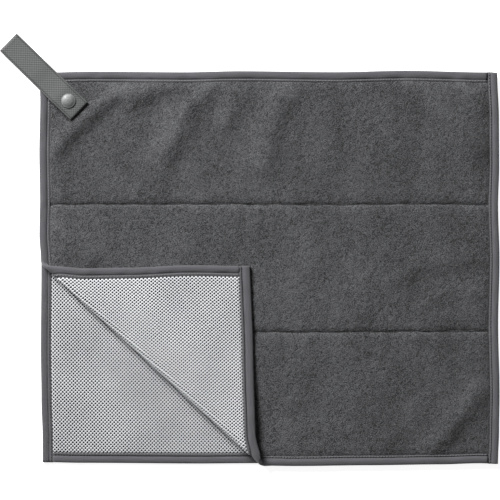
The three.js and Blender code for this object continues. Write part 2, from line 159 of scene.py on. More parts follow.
@dataclass(frozen=True)
class EdgeLine:
    """How far one edge lies inside its straight line: rows of the distance along it and the way in."""

    rows: tuple[tuple[float, float], ...]

    def inset(self, place: Array) -> Array:
        """The way in at each place along the edge.

        Args:
            place: Distances along the edge.

        Returns:
            The distances in from the straight line.
        """
        at, way = np.array(self.rows).T
        row = np.clip(np.searchsorted(at, place, side="right") - 1, 0, len(at) - 2)
        share = smooth((place - at[row]) / (at[row + 1] - at[row]))
        return way[row] + (way[row + 1] - way[row]) * share


@dataclass(frozen=True)
class Ridge:
    """A soft ridge of the upper leaf: its height, its half width and the line it follows in plan."""

    rise: float
    reach: float
    path: tuple[tuple[float, float], ...]


@dataclass(frozen=True)
class Leaf:
    """A flat leaf of cloth that lies on the floor."""

    left: EdgeLine
    bottom: EdgeLine
    right: EdgeLine
    top: EdgeLine
    mesh_up: bool = True

    def lay_out(self, u: Array, v: Array) -> tuple[Array, Array]:
        """Where the flat cloth's places lie in plan, with the edges as uneven as they are.

        Args:
            u: Places along the cloth's width.
            v: Places along its height.

        Returns:
            The places in plan, across and up.
        """
        across, up = u / WIDTH, v / HEIGHT
        from_left = self.left.inset(v) * (1 - across) ** 2
        from_right = self.right.inset(v) * across**2
        from_bottom = self.bottom.inset(u) * (1 - up) ** 2
        from_top = self.top.inset(u) * up**2
        return u + from_left - from_right, v + from_bottom - from_top

    def level(self, height: Array) -> Array:
        """Turns a height over the mesh face into one over the leaf's underside."""
        return STACK - height if self.mesh_up else height

    def shaped(self, x: Array, y: Array, w: Array) -> tuple[Array, Array, Array]:
        """The place of plan points after the leaf has been folded and laid down."""
        return x, y, w

    def place(self, u: Array, v: Array, height: Array) -> Array:
        """Places points of the cloth in the part's own frame.

        Args:
            u: Places along the cloth's width.
            v: Places along its height.
            height: Heights over the mesh face.

        Returns:
            One row of x, y and z a point, in metres.
        """
        x, y = self.lay_out(u, v)
        x, y, z = self.shaped(x, y, self.level(height))
        return np.column_stack([x - PLAN_MIDDLE[0], y - PLAN_MIDDLE[1], z]) * MM


@dataclass(frozen=True)
class TurnedLeaf(Leaf):
    """The upper leaf, whose lower left corner is turned back over a roll."""

    mesh_up: bool = False
    ridges: tuple[Ridge, ...] = ()
    rest: float = 5.0
    corner_lift: tuple[float, float, float] = (1.0, 48.0, 85.0)
    edge_calm: float = 30.0
    edge_rise: float = 0.1
    crease_left: float = 208.1
    crease_bottom: float = 227.6
    roll: tuple[float, float] = (4.6, 6.8)
    flap_rest: float = 8.3
    settle: tuple[float, float] = (20.0, 18.0)
    shear: float = 0.127
    take_up: float = 0.036

    def height_at(self, x: Array, y: Array) -> Array:
        """The height of the leaf's underside over the floor.

        Args:
            x: Places in plan, across.
            y: Places in plan, up.

        Returns:
            The heights.
        """
        calm = self.edge_rise + (1 - self.edge_rise) * smooth(to_edge(x, y) / self.edge_calm)
        raised = np.zeros(x.shape)
        for ridge in self.ridges:
            raised += ridge.rise * np.exp(-((distance_to_path(x, y, ridge.path) / ridge.reach) ** 2))
        lift, full, ends = self.corner_lift
        from_corner = np.hypot(x, y - HEIGHT)
        return self.rest + lift * (1 - smooth((from_corner - full) / (ends - full))) + raised * calm

    def crease_axes(self) -> tuple[Array, Array, float]:
        """The crease's own axes.

        Returns:
            The directions along the crease and away from the corner, and the crease's length.
        """
        length = math.hypot(self.crease_left, self.crease_bottom)
        along = np.array([self.crease_bottom, -self.crease_left]) / length
        away = np.array([self.crease_left, self.crease_bottom]) / length
        return along, away, length

    def past_crease(self, x: Array, y: Array) -> Array:
        """How far plan points of the unfolded cloth lie from the crease, into the open field."""
        _, away, _ = self.crease_axes()
        return away[0] * x + away[1] * (y - self.crease_left)

    def shaped(self, x: Array, y: Array, w: Array) -> tuple[Array, Array, Array]:
        """Turns the corner back over the roll, and lays it on the terry with a little shear.

        Args:
            x: Places in plan, across.
            y: Places in plan, up.
            w: Heights over the leaf's underside.

        Returns:
            The places after folding: across, up and over the floor.
        """
        along, away, length = self.crease_axes()
        s = along[0] * x + along[1] * (y - self.crease_left)
        low, high = self.roll
        radius = low + (high - low) * np.clip(s / length, -0.1, 1.1)
        past = radius - self.past_crease(x, y)
        folded = past > 0
        middle = radius - STACK / 2
        turn = np.minimum(np.maximum(past, 0) / middle, math.pi)
        beyond = np.maximum(past - math.pi * middle, 0)
        drop = 2 * radius - self.flap_rest
        settled = smooth(beyond / (self.settle[0] + self.settle[1] * drop))
        n = radius - (radius - w) * np.sin(turn) + beyond - self.take_up * past
        slid = s + self.shear * past
        z = radius - (radius - w) * np.cos(turn) - drop * settled
        x = np.where(folded, along[0] * slid + away[0] * n, x)
        y = np.where(folded, self.crease_left + along[1] * slid + away[1] * n, y)
        z = np.where(folded, z, w)
        return x, y, z + self.height_at(x, y)


UPPER = TurnedLeaf(
    left=EdgeLine(((0, 4.5), (60, 3.5), (120, 6.1), (165, 6.7), (190, 4.5), (211, 1.3), (236, -0.2),
                   (272, 0.4), (320, -0.3), (375, 0.7), (403, 0.3))),
    bottom=EdgeLine(((0, 2.4), (70, 2.3), (140, 3.4), (190, 3.7), (215, 0), (262, -0.6), (339, 0.2),
                     (411, 1.1), (450, 2.2), (470, 1.8))),
    right=EdgeLine(((0, 0.1), (36, -1.0), (72, -1.5), (144, -0.1), (211, -1.4), (267, 0), (308, -1.1),
                    (355, -0.9), (403, 0.9))),
    top=EdgeLine(((0, 0.3), (56, -0.8), (149, -0.2), (205, -1.3), (303, -0.3), (375, -1.7), (462, 0),
                  (470, 0.7))),
    ridges=(
        Ridge(4.4, 9.5, ((17, 324), (41, 350), (74, 378), (120, 394))),
        Ridge(3.2, 9, ((96, 371), (113, 382), (136, 390))),
        Ridge(4.4, 13, ((134, 326), (144, 345), (152, 362), (172, 390))),
        Ridge(2.3, 9, ((193, 352), (200, 378))),
        Ridge(4.4, 15, ((228, 308), (234, 339), (241, 360), (250, 382))),
        Ridge(5.2, 13, ((381, 390), (394, 377), (423, 347), (450, 322))),
        Ridge(3.6, 9, ((432, 390), (444, 379), (453, 366))),
        Ridge(4.0, 12, ((404, 19), (425, 45), (450, 72))),
        Ridge(1.4, 12, ((354, 18), (375, 41), (388, 62))),
        Ridge(1.3, 9, ((372, 194), (395, 207), (452, 213))),
        Ridge(1.3, 9, ((395, 165), (415, 176), (452, 178))),
        Ridge(3.6, 9, ((22, 244), (32, 233), (53, 213))),
    ),
)
LOWER = Leaf(
    left=EdgeLine(((0, 2.8), (26, 2.7), (67, 1.5), (118, 0.9), (200, 1.4), (403, 2))),
    bottom=EdgeLine(((0, 3.1), (41, 2.3), (164, 1.6), (215, 1.9), (470, 2))),
    right=EdgeLine(((0, 2), (403, 2))),
    top=EdgeLine(((0, 2), (470, 2))),
)


class Recipe:
    """A material's nodes, added one at a time and joined up."""

    def __init__(self, name: str) -> None:
        """Starts a material that has only its shader."""
        self.material = bpy.data.materials.new(name)
        self.material.use_nodes = True
        self.tree = self.material.node_tree
        self.shader = self.tree.nodes["Principled BSDF"]

    def add(self, kind: str, inputs: dict[str, object] | None = None, **settings: object) -> bpy.types.Node:
        """Adds a node.

        Args:
            kind: The node's type.
            inputs: Values for its sockets, by name. A socket of another node is linked.
            **settings: Values for the node's own properties.

        Returns:
            The node.
        """
        node = self.tree.nodes.new(kind)
        for name, value in settings.items():
            setattr(node, name, value)
        for name, value in (inputs or {}).items():
            self.feed(value, node.inputs[name])
        return node

    def feed(self, value: object, socket: bpy.types.NodeSocket) -> None:
        """Links a socket to another, or sets it to a number or colour.

        Args:
            value: The other socket, number or colour.
            socket: The socket that takes it.
        """
        if isinstance(value, bpy.types.NodeSocket):
            self.tree.links.new(value, socket)
        else:
            socket.default_value = value

    def coordinates(self, scale: tuple[float, float, float], uv: bool = False) -> bpy.types.NodeSocket:
        """The piece's own coordinates, scaled: places in the part's frame, or its cloth map in metres."""
        source = self.add("ShaderNodeTexCoord").outputs["UV" if uv else "Object"]
        return self.add("ShaderNodeMapping", {"Vector": source, "Scale": scale}).outputs["Vector"]

    def noise(self, vector: bpy.types.NodeSocket, scale: float, detail: float = 2.0) -> bpy.types.NodeSocket:
        """A noise from 0 to 1."""
        sockets = {"Vector": vector, "Scale": scale, "Detail": detail}
        return self.add("ShaderNodeTexNoise", sockets).outputs["Fac"]

    def cells(self, vector: bpy.types.NodeSocket, scale: float) -> bpy.types.NodeSocket:
        """The distance to the middle of the nearest of many irregular cells."""
        sockets = {"Vector": vector, "Scale": scale}
        return self.add("ShaderNodeTexVoronoi", sockets).outputs["Distance"]

    def sum(self, first: object, second: object, weight: float) -> bpy.types.NodeSocket:
        """The first value and a share of the second, added.

        Args:
            first: A socket or number.
            second: A socket or number.
            weight: The share of the second.

        Returns:
            The sum's socket.
        """
        node = self.add("ShaderNodeMath", operation="MULTIPLY_ADD")
        self.feed(second, node.inputs[0])
        self.feed(weight, node.inputs[1])
        self.feed(first, node.inputs[2])
        return node.outputs[0]

    def blend(
        self, share: bpy.types.NodeSocket, low: float, high: float, dark: tuple, light: tuple
    ) -> bpy.types.NodeSocket:
        """A colour between two, where the share goes from low to high.

        Args:
            share: What picks the colour.
            low: The share that gives the dark colour.
            high: The share that gives the light one.
            dark: The dark colour.
            light: The light colour.

        Returns:
            The colour's socket.
        """
        ramp = self.add("ShaderNodeValToRGB", {"Fac": share})
        first, last = ramp.color_ramp.elements
        first.position, last.position = low, high
        first.color, last.color = (*dark, 1), (*light, 1)
        return ramp.outputs["Color"]

    def bump(self, height: bpy.types.NodeSocket, depth: float) -> None:
        """Gives the shader a bump.

        Args:
            height: The height that it follows.
            depth: What a height of 1 stands for, in metres.
        """
        sockets = {"Height": height, "Distance": depth, "Strength": 1.0}
        bump = self.add("ShaderNodeBump", sockets)
        self.feed(bump.outputs["Normal"], self.shader.inputs["Normal"])

    def set(self, **values: object) -> None:
        """Sets the shader's own sockets, named with underscores for spaces."""
        for name, value in values.items():
            self.feed(value, self.shader.inputs[name.replace("_", " ")])


@dataclass(frozen=True)
class TerryFinish:
    """Short dark looped pile, with patches where the nap lies another way, and painted shade on its lower
    tufts.
    """

    dark: tuple[float, float, float] = (0.014, 0.014, 0.0148)
    light: tuple[float, float, float] = (0.142, 0.1435, 0.151)
    patch_scale: tuple[float, float, float] = (30.0, 14.0, 30.0)
    loop_scale: float = 1050.0
    clump_scale: float = 900.0
    ground: float = 0.2
    patch_share: float = 0.3
    clump_share: float = 0.65
    pile_shade_share: float = 0.3
    loop_share: float = 0.55
    tone_range: tuple[float, float] = (0.36, 0.9)
    bump: float = 0.0007
    bump_loop_share: float = 0.8

    def material(self) -> bpy.types.Material:
        """Makes the finish.

        Returns:
            The material.
        """
        made = Recipe("terry")
        plain = made.coordinates((1, 1, 1))
        patches = made.noise(made.coordinates(self.patch_scale), 1.0, 3.0)
        clumps = made.noise(plain, self.clump_scale, 2.0)
        loops = made.cells(plain, self.loop_scale)
        # The pile attribute is painted shade: lower tufts darker, higher ones lighter.
        pile = made.add("ShaderNodeAttribute", attribute_name="pile").outputs["Fac"]
        tone = made.sum(self.ground, patches, self.patch_share)
        tone = made.sum(tone, clumps, self.clump_share)
        tone = made.sum(tone, pile, self.pile_shade_share)
        tone = made.sum(tone, loops, -self.loop_share)
        made.set(
            Base_Color=made.blend(tone, *self.tone_range, self.dark, self.light),
            Roughness=1.0, Specular_IOR_Level=0.1, Sheen_Weight=0.2, Sheen_Roughness=0.6,
        )
        made.bump(made.sum(clumps, loops, -self.bump_loop_share), self.bump)
        return made.material


@dataclass(frozen=True)
class MeshFinish:
    """Light knitted mesh, with its threads' fine ribs."""

    name: str = "mesh"
    dark: tuple[float, float, float] = (0.46, 0.468, 0.486)
    light: tuple[float, float, float] = (0.7, 0.706, 0.72)
    filament_scale: float = 1500.0
    bump: float = 0.0001

    def material(self) -> bpy.types.Material:
        """Makes the finish.

        Returns:
            The material.
        """
        made = Recipe(self.name)
        filaments = made.noise(made.coordinates((1, 1, 1), uv=True), self.filament_scale, 1.0)
        patches = made.noise(made.coordinates((18, 18, 18)), 1.0, 2.0)
        tone = made.sum(made.sum(0.0, patches, 0.6), filaments, 0.4)
        made.set(
            Base_Color=made.blend(tone, 0.2, 0.8, self.dark, self.light),
            Roughness=0.85, Specular_IOR_Level=0.15, Sheen_Weight=0.1,
        )
        made.bump(filaments, self.bump)
        return made.material


@dataclass(frozen=True)
class TapeFinish:
    """Smooth woven tape, with fine ribs across it and worn, uneven dye along it."""

    dark: tuple[float, float, float] = (0.066, 0.065, 0.071)
    light: tuple[float, float, float] = (0.108, 0.106, 0.116)
    rib: float = 0.0006
    bands_at_scale_1: float = 3.2
    bump: float = 0.00012

    def material(self) -> bpy.types.Material:
        """Makes the finish.

        Returns:
            The material.
        """
        made = Recipe("binding")
        along = made.coordinates((1, 1, 1), uv=True)
        scale = 1 / self.rib / self.bands_at_scale_1
        sockets = {"Vector": along, "Scale": scale, "Distortion": 0.6, "Detail": 1.0}
        ribs = made.add("ShaderNodeTexWave", sockets, bands_direction="X").outputs["Fac"]
        streaks = made.noise(made.coordinates((60, 700, 1), uv=True), 1.0, 3.0)
        tone = made.sum(made.sum(0.0, streaks, 0.8), ribs, 0.2)
        made.set(
            Base_Color=made.blend(tone, 0.2, 0.8, self.dark, self.light),
            Roughness=0.8, Specular_IOR_Level=0.3, Sheen_Weight=0.2, Sheen_Roughness=0.4,
        )
        made.bump(ribs, self.bump)
        return made.material


@dataclass(frozen=True)
class ThreadFinish:
    """Twisted sewing thread."""

    name: str
    dark: tuple[float, float, float]
    light: tuple[float, float, float]
    twist: float = 2200.0

    def material(self) -> bpy.types.Material:
        """Makes the finish.

        Returns:
            The material.
        """
        made = Recipe(self.name)
        plies = made.noise(made.coordinates((1, 1, 1)), self.twist, 1.0)
        made.set(
            Base_Color=made.blend(plies, 0.25, 0.75, self.dark, self.light),
            Roughness=0.6, Specular_IOR_Level=0.4,
        )
        made.bump(plies, 0.0001)
        return made.material


@dataclass(frozen=True)
class WebbingFinish:
    """Grey woven webbing, with painted shade in the hollows of its weave and in its edge grooves."""

    dark: tuple[float, float, float] = (0.008, 0.009, 0.009)
    light: tuple[float, float, float] = (0.14, 0.143, 0.142)
    yarn_scale: float = 1800.0
    bump: float = 0.00015

    def material(self) -> bpy.types.Material:
        """Makes the finish.

        Returns:
            The material.
        """
        made = Recipe("webbing")
        yarns = made.noise(made.coordinates((1, 1, 1), uv=True), self.yarn_scale, 2.0)
        # The weave attribute is painted shade in the weave's hollows and in the grooves by the selvedges.
        raised = made.add("ShaderNodeAttribute", attribute_name="weave").outputs["Fac"]
        tone = made.sum(made.sum(0.0, raised, 0.7), yarns, 0.3)
        made.set(
            Base_Color=made.blend(tone, 0.2, 0.8, self.dark, self.light),
            Roughness=0.75, Specular_IOR_Level=0.3, Sheen_Weight=0.15,
        )
        made.bump(yarns, self.bump)
        return made.material


@dataclass(frozen=True)
class MetalFinish:
    """Satin metal with a fine, uneven brush and a few rubbed places."""

    dark: tuple[float, float, float] = (0.165, 0.169, 0.169)
    light: tuple[float, float, float] = (0.26, 0.264, 0.264)
    roughness: tuple[float, float] = (0.58, 0.74)
    bump: float = 0.00004

    def material(self) -> bpy.types.Material:
        """Makes the finish.

        Returns:
            The material.
        """
        made = Recipe("metal")
        grain = made.noise(made.coordinates((1, 1, 1)), 900.0, 3.0)
        rubbed = made.noise(made.coordinates((1, 1, 1)), 160.0, 2.0)
        smoothest, roughest = self.roughness
        sockets = {"Value": rubbed, "To Min": smoothest, "To Max": roughest}
        roughness = made.add("ShaderNodeMapRange", sockets)
        made.set(
            Base_Color=made.blend(grain, 0.3, 0.7, self.dark, self.light),
            Metallic=0.9, Roughness=roughness.outputs["Result"],
        )
        made.bump(grain, self.bump)
        return made.material


# The lower leaf's mesh is the same cloth in darker colours: painted shade.
SHADED_LOWER_MESH_FINISH = MeshFinish("lower-mesh-painted-shade", (0.38, 0.387, 0.403), (0.61, 0.615, 0.628))
EDGE_THREAD_FINISH = ThreadFinish("thread", (0.12, 0.12, 0.126), (0.21, 0.21, 0.22))
DARK_THREAD_FINISH = ThreadFinish("dark-thread", (0.018, 0.018, 0.02), (0.04, 0.04, 0.043))


@dataclass
class Finishes:
    """Every material of the towel, made once."""

    terry: bpy.types.Material = field(default_factory=TerryFinish().material)
    mesh: bpy.types.Material = field(default_factory=MeshFinish().material)
    # The lower leaf's mesh, darkened as painted shade.
    lower_mesh: bpy.types.Material = field(default_factory=SHADED_LOWER_MESH_FINISH.material)
    tape: bpy.types.Material = field(default_factory=TapeFinish().material)
    webbing: bpy.types.Material = field(default_factory=WebbingFinish().material)
    metal: bpy.types.Material = field(default_factory=MetalFinish().material)
    thread: bpy.types.Material = field(default_factory=EDGE_THREAD_FINISH.material)
    dark_thread: bpy.types.Material = field(default_factory=DARK_THREAD_FINISH.material)


class Shell:
    """Collects the points and faces of one piece, then makes its object."""

    def __init__(self) -> None:
        """Starts with nothing."""
        self.points: list[Array] = []
        self.maps: list[Array] = []
        self.faces: list[list[int]] = []
        self.values: list[Array] = []
        self.count = 0

    def add_points(self, points: Array, cloth_map: Array, values: Array | None = None) -> Array:
        """Adds points, and returns their numbers in the piece.

        Args:
            points: Their places, in metres.
            cloth_map: Their places in the flat cloth, in millimetres.
            values: A value a point for the piece's attribute.

        Returns:
            The points' numbers.
        """
        self.points.append(points)
        self.maps.append(cloth_map * MM)
        self.values.append(np.zeros(len(points)) if values is None else values)
        self.count += len(points)
        return np.arange(self.count - len(points), self.count)

    def add_faces(self, faces: Array | list[list[int]]) -> None:
        """Adds faces, given as rows of point numbers."""
        self.faces.extend(faces.tolist() if isinstance(faces, np.ndarray) else faces)

    def to_object(self, name: str, material: bpy.types.Material, attribute: str = "") -> bpy.types.Object:
        """Makes the piece, smooth and in its finish.

        Args:
            name: The piece's name.
            material: Its finish.
            attribute: The name to keep the points' values under, if any.

        Returns:
            The piece's object.
        """
        mesh = bpy.data.meshes.new(name)
        mesh.from_pydata(np.concatenate(self.points).tolist(), [], self.faces)
        corners = np.zeros(len(mesh.loops), np.int32)
        mesh.loops.foreach_get("vertex_index", corners)
        layer = mesh.uv_layers.new(name="cloth")
        layer.data.foreach_set("uv", np.concatenate(self.maps)[corners].astype(np.float32).ravel())
        if attribute:
            kept = mesh.attributes.new(attribute, "FLOAT", "POINT")
            kept.data.foreach_set("value", np.concatenate(self.values).astype(np.float32))
        mesh.shade_smooth()
        mesh.update()
        mesh.validate()
        made = bpy.data.objects.new(name, mesh)
        bpy.context.scene.collection.objects.link(made)
        made.data.materials.append(material)
        return made


def directed_rim(faces: Array, count: int) -> Array:
    """The directed edges that only one of the faces has.

    Args:
        faces: The quads, as rows of point numbers.
        count: How many points there are.

    Returns:
        Rows of a start and an end.
    """
    starts = faces.ravel()
    ends = np.roll(faces, -1, axis=1).ravel()
    there = starts.astype(np.int64) * count + ends
    back = ends.astype(np.int64) * count + starts
    alone = ~np.isin(there, back)
    return np.column_stack([starts[alone], ends[alone]])


@dataclass
class Slab:
    """Flat faces that are given a thickness: placed by a function of two cloth places and a height."""

    place: Callable[[Array, Array, Array], Array]
    points: Array
    faces: Array
    low: Array
    high: Array
    flipped: bool = False

    def add_to(self, shell: Shell, values: Array | None = None) -> None:
        """Adds the slab's two faces and its rim, also round each hole, to a piece.

        Args:
            shell: The piece.
            values: A value a point for the piece's attribute.
        """
        u, v = self.points.T
        over = shell.add_points(self.place(u, v, self.high), self.points, values)
        under = shell.add_points(self.place(u, v, self.low), self.points, values)
        a, b = directed_rim(self.faces, len(self.points)).T
        top, bottom = over[self.faces], under[self.faces][:, ::-1]
        rim = np.column_stack([under[a], under[b], over[b], over[a]])
        for faces in (top, bottom, rim):
            shell.add_faces(faces[:, ::-1] if self.flipped else faces)


def grid_faces(columns: int, rows: int) -> Array:
    """The quads of a grid whose points run along its columns first."""
    start = (np.arange(rows - 1)[:, None] * columns + np.arange(columns - 1)[None, :]).ravel()
    return np.column_stack([start, start + 1, start + 1 + columns, start + columns])


def declare(piece: bpy.types.Object, replaced: tuple[str, ...]) -> bpy.types.Object:
    """Makes a piece ride on the towel and stand for its nodes.

    Args:
        piece: The piece.
        replaced: The nodes that it stands for.

    Returns:
        The same piece.
    """
    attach(piece, "root")
    if replaced:
        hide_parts(*replaced)
    faces = len(piece.data.polygons)
    log.info("%s: %d faces", piece.name, faces)
    return piece


@dataclass
class TerryPanel:
    """A leaf's terry panel: a sheet whose outer face is a pile of small tufts, drawn down at the seams."""

    leaf: Leaf
    node: str
    seams: tuple[float, ...] = ()
    spacing: float = 1.45
    spread: float = 0.35
    inset: float = 1.6
    tape_edges: tuple[float, float, float, float] = (9.9, 9.9, 9.9, 9.9)
    tuft: float = 0.28
    patch: float = 0.12
    patch_tufts: int = 3
    drape: tuple[tuple[float, float, float], ...] = ((0.3, 10.0, 17.0), (0.12, 5.0, 7.0))
    drape_at_seam: tuple[float, float] = (1.2, 10.0)
    drape_from_tape: float = 8.0
    seed: int = 11
    backing_step: int = 6
    under_tape: tuple[float, float] = (1.7, 2.05)
    field_low: float = 1.2
    thinnest: float = 0.15
    sunk: float = 0.25
    highest: float = 0.9
    beside_tape: float = 3.35
    step_from: float = 0.5
    step_over: float = 1.3
    swelling: float = 7.0
    backing_margin: float = 1.5
    seam_waver: tuple[tuple[float, float], ...] = ((0.25, 7.3), (0.15, 2.9))
    seam_cusp: tuple[float, float] = (1.6, 1.8)
    seam_swell: tuple[float, float] = (0.95, 10.0)
    seam_fine: tuple[float, ...] = (0.35, 0.8, 1.4, 2.2, 3.2, 4.4)

    def lines(self, span: float, seams: tuple[float, ...]) -> Array:
        """Grid lines across a span, closer together at the seams.

        Args:
            span: The leaf's size in this direction.
            seams: The places of the seams.

        Returns:
            The lines' places. Their number of steps is a multiple of the backing's.
        """
        offsets = [-step for step in reversed(self.seam_fine)] + [0.0, *self.seam_fine]
        fixed = [self.inset]
        for seam in seams:
            fixed.extend(seam + offset for offset in offsets)
        fixed.append(span - self.inset)
        runs = [max(1, round((b - a) / self.spacing)) for a, b in zip(fixed, fixed[1:])]
        runs[-1] += -sum(runs) % self.backing_step
        places = [np.linspace(a, b, n, endpoint=False) for a, b, n in zip(fixed, fixed[1:], runs)]
        return np.append(np.concatenate(places), fixed[-1])

    def past_tape(self, u: Array, v: Array) -> Array:
        """How far a place lies past the inner edge of the nearest tape.

        Args:
            u: Places along the cloth's width.
            v: Places along its height.

        Returns:
            The distances, below 0 under the tape.
        """
        left, right, top, bottom = self.tape_edges
        across = np.minimum(u - left, WIDTH - u - right)
        return np.minimum(across, np.minimum(HEIGHT - v - top, v - bottom))

    def face_height(self, u: Array, v: Array, pile: Array) -> Array:
        """The height of the pile's tips over the mesh face.

        Args:
            u: Places along the cloth's width.
            v: Places along its height.
            pile: How far each tip stands out of the panel's own face.

        Returns:
            The heights.
        """
        inward = self.past_tape(u, v)
        beside = smooth((inward + self.step_from) / self.step_over)
        swollen = smooth(inward / self.swelling)
        low = self.under_tape[1]
        height = low + (self.beside_tape - low) * beside + (STACK - self.beside_tape) * swollen
        for seam in self.seams:
            waver = sum(aside * np.sin(u / length) for aside, length in self.seam_waver)
            away = np.abs(v - seam - waver)
            cusp, reach = self.seam_cusp
            swell, swell_reach = self.seam_swell
            valley = cusp * np.exp(-away / reach) + swell * np.clip(1 - away / swell_reach, 0, 1) ** 2
            height -= beside * valley
        return height + beside * pile

    def draped(self, u: Array, v: Array, rng: np.random.Generator) -> Array:
        """The soft unevenness of the panel, stronger beside the seams.

        Args:
            u: Places along the cloth's width.
            v: Places along its height.
            rng: Where its values come from.

        Returns:
            The rise at each place.
        """
        relief = np.zeros(u.shape)
        for rise, wide, high in self.drape:
            relief += rise * value_noise(u / wide, v / high, rng)
        gain, reach = self.drape_at_seam
        for seam in self.seams:
            relief *= 1 + gain * np.exp(-np.abs(v - seam) / reach)
        return relief * smooth(self.past_tape(u, v) / self.drape_from_tape)

    def tips(self, across: Array, up: Array) -> tuple[Array, Array, Array, Array]:
        """The pile's tips, one at each crossing of the grid's lines, jogged a little.

        Args:
            across: The lines across the cloth's width.
            up: The lines up its height.

        Returns:
            The places u and v, the heights over the mesh face, and the tones, which paint shade onto the
            lower tufts.
        """
        columns, rows = len(across), len(up)
        rng = np.random.default_rng(self.seed)
        u, v = (grid.ravel() for grid in np.meshgrid(across, up))
        tufts = rng.uniform(-1, 1, (rows, columns))
        each = self.patch_tufts
        clumps = rng.uniform(-1, 1, (rows // each + 2, columns // each + 2))
        clumps = np.kron(clumps, np.ones((each, each)))[:rows, :columns]
        pile = (self.tuft * tufts + self.patch * clumps).ravel()
        inner = (to_edge(u, v) > self.inset + 0.5).astype(float)
        u = u + inner * rng.uniform(-self.spread, self.spread, u.size)
        near_seam = np.min([np.abs(v - seam) for seam in self.seams] or [np.full(v.size, 99.0)], axis=0)
        loose = inner * smooth((near_seam - 0.5) / 4)
        v = v + rng.uniform(-self.spread, self.spread, v.size) * loose
        height = self.face_height(u, v, pile + self.draped(u, v, rng) - self.sunk)
        highest = STACK + self.highest if self.seams else STACK
        height = np.clip(height, self.field_low + self.thinnest, highest)
        # The tone follows each tuft's height: painted shade on the low tufts, painted light on the high
        # ones.
        return u, v, height, np.clip(0.5 + pile / (4 * self.tuft), 0, 1)

    def rim(self, over: Array, under: Array) -> list[list[int]]:
        """The faces that join the fine pile to the coarse backing all round the sheet.

        Args:
            over: The grid of the pile's point numbers.
            under: The grid of the backing's.

        Returns:
            The faces, as rows of point numbers.
        """
        step = self.backing_step
        faces = []
        for fine, coarse in (
            (over[0], under[0]), (over[:, -1], under[:, -1]),
            (over[-1][::-1], under[-1][::-1]), (over[:, 0][::-1], under[:, 0][::-1]),
        ):
            for i in range(len(coarse) - 1):
                edge = fine[i * step:(i + 1) * step + 1]
                faces.append([int(coarse[i]), int(coarse[i + 1]), *(int(n) for n in edge[::-1])])
        return faces

    def build(self, finish: bpy.types.Material) -> bpy.types.Object:
        """Builds the panel as one closed sheet.

        Args:
            finish: The terry's material.

        Returns:
            The panel's object.
        """
        across, up = self.lines(WIDTH, ()), self.lines(HEIGHT, self.seams)
        columns, rows = len(across), len(up)
        u, v, height, tone = self.tips(across, up)
        shell = Shell()
        over = shell.add_points(self.leaf.place(u, v, height), np.column_stack([u, v]), tone)
        over = over.reshape(rows, columns)
        step = self.backing_step
        picked = np.arange(rows * columns).reshape(rows, columns)[::step, ::step]
        u, v = u[picked.ravel()], v[picked.ravel()]
        covered = self.past_tape(u, v) < self.backing_margin
        low = np.where(covered, self.under_tape[0], self.field_low)
        under = shell.add_points(self.leaf.place(u, v, low), np.column_stack([u, v]))
        under = under.reshape(picked.shape)
        top = over.ravel()[grid_faces(columns, rows)]
        bottom = under.ravel()[grid_faces(*reversed(under.shape))][:, ::-1]
        rim = self.rim(over, under)
        flipped = self.leaf.mesh_up
        shell.add_faces(top[:, ::-1] if flipped else top)
        shell.add_faces(bottom[:, ::-1] if flipped else bottom)
        shell.add_faces([face[::-1] for face in rim] if flipped else rim)
        # The tufts' tones are kept as the pile attribute, painted shade for the terry's material.
        return declare(shell.to_object(self.node + "_pile", finish, "pile"), (self.node,))


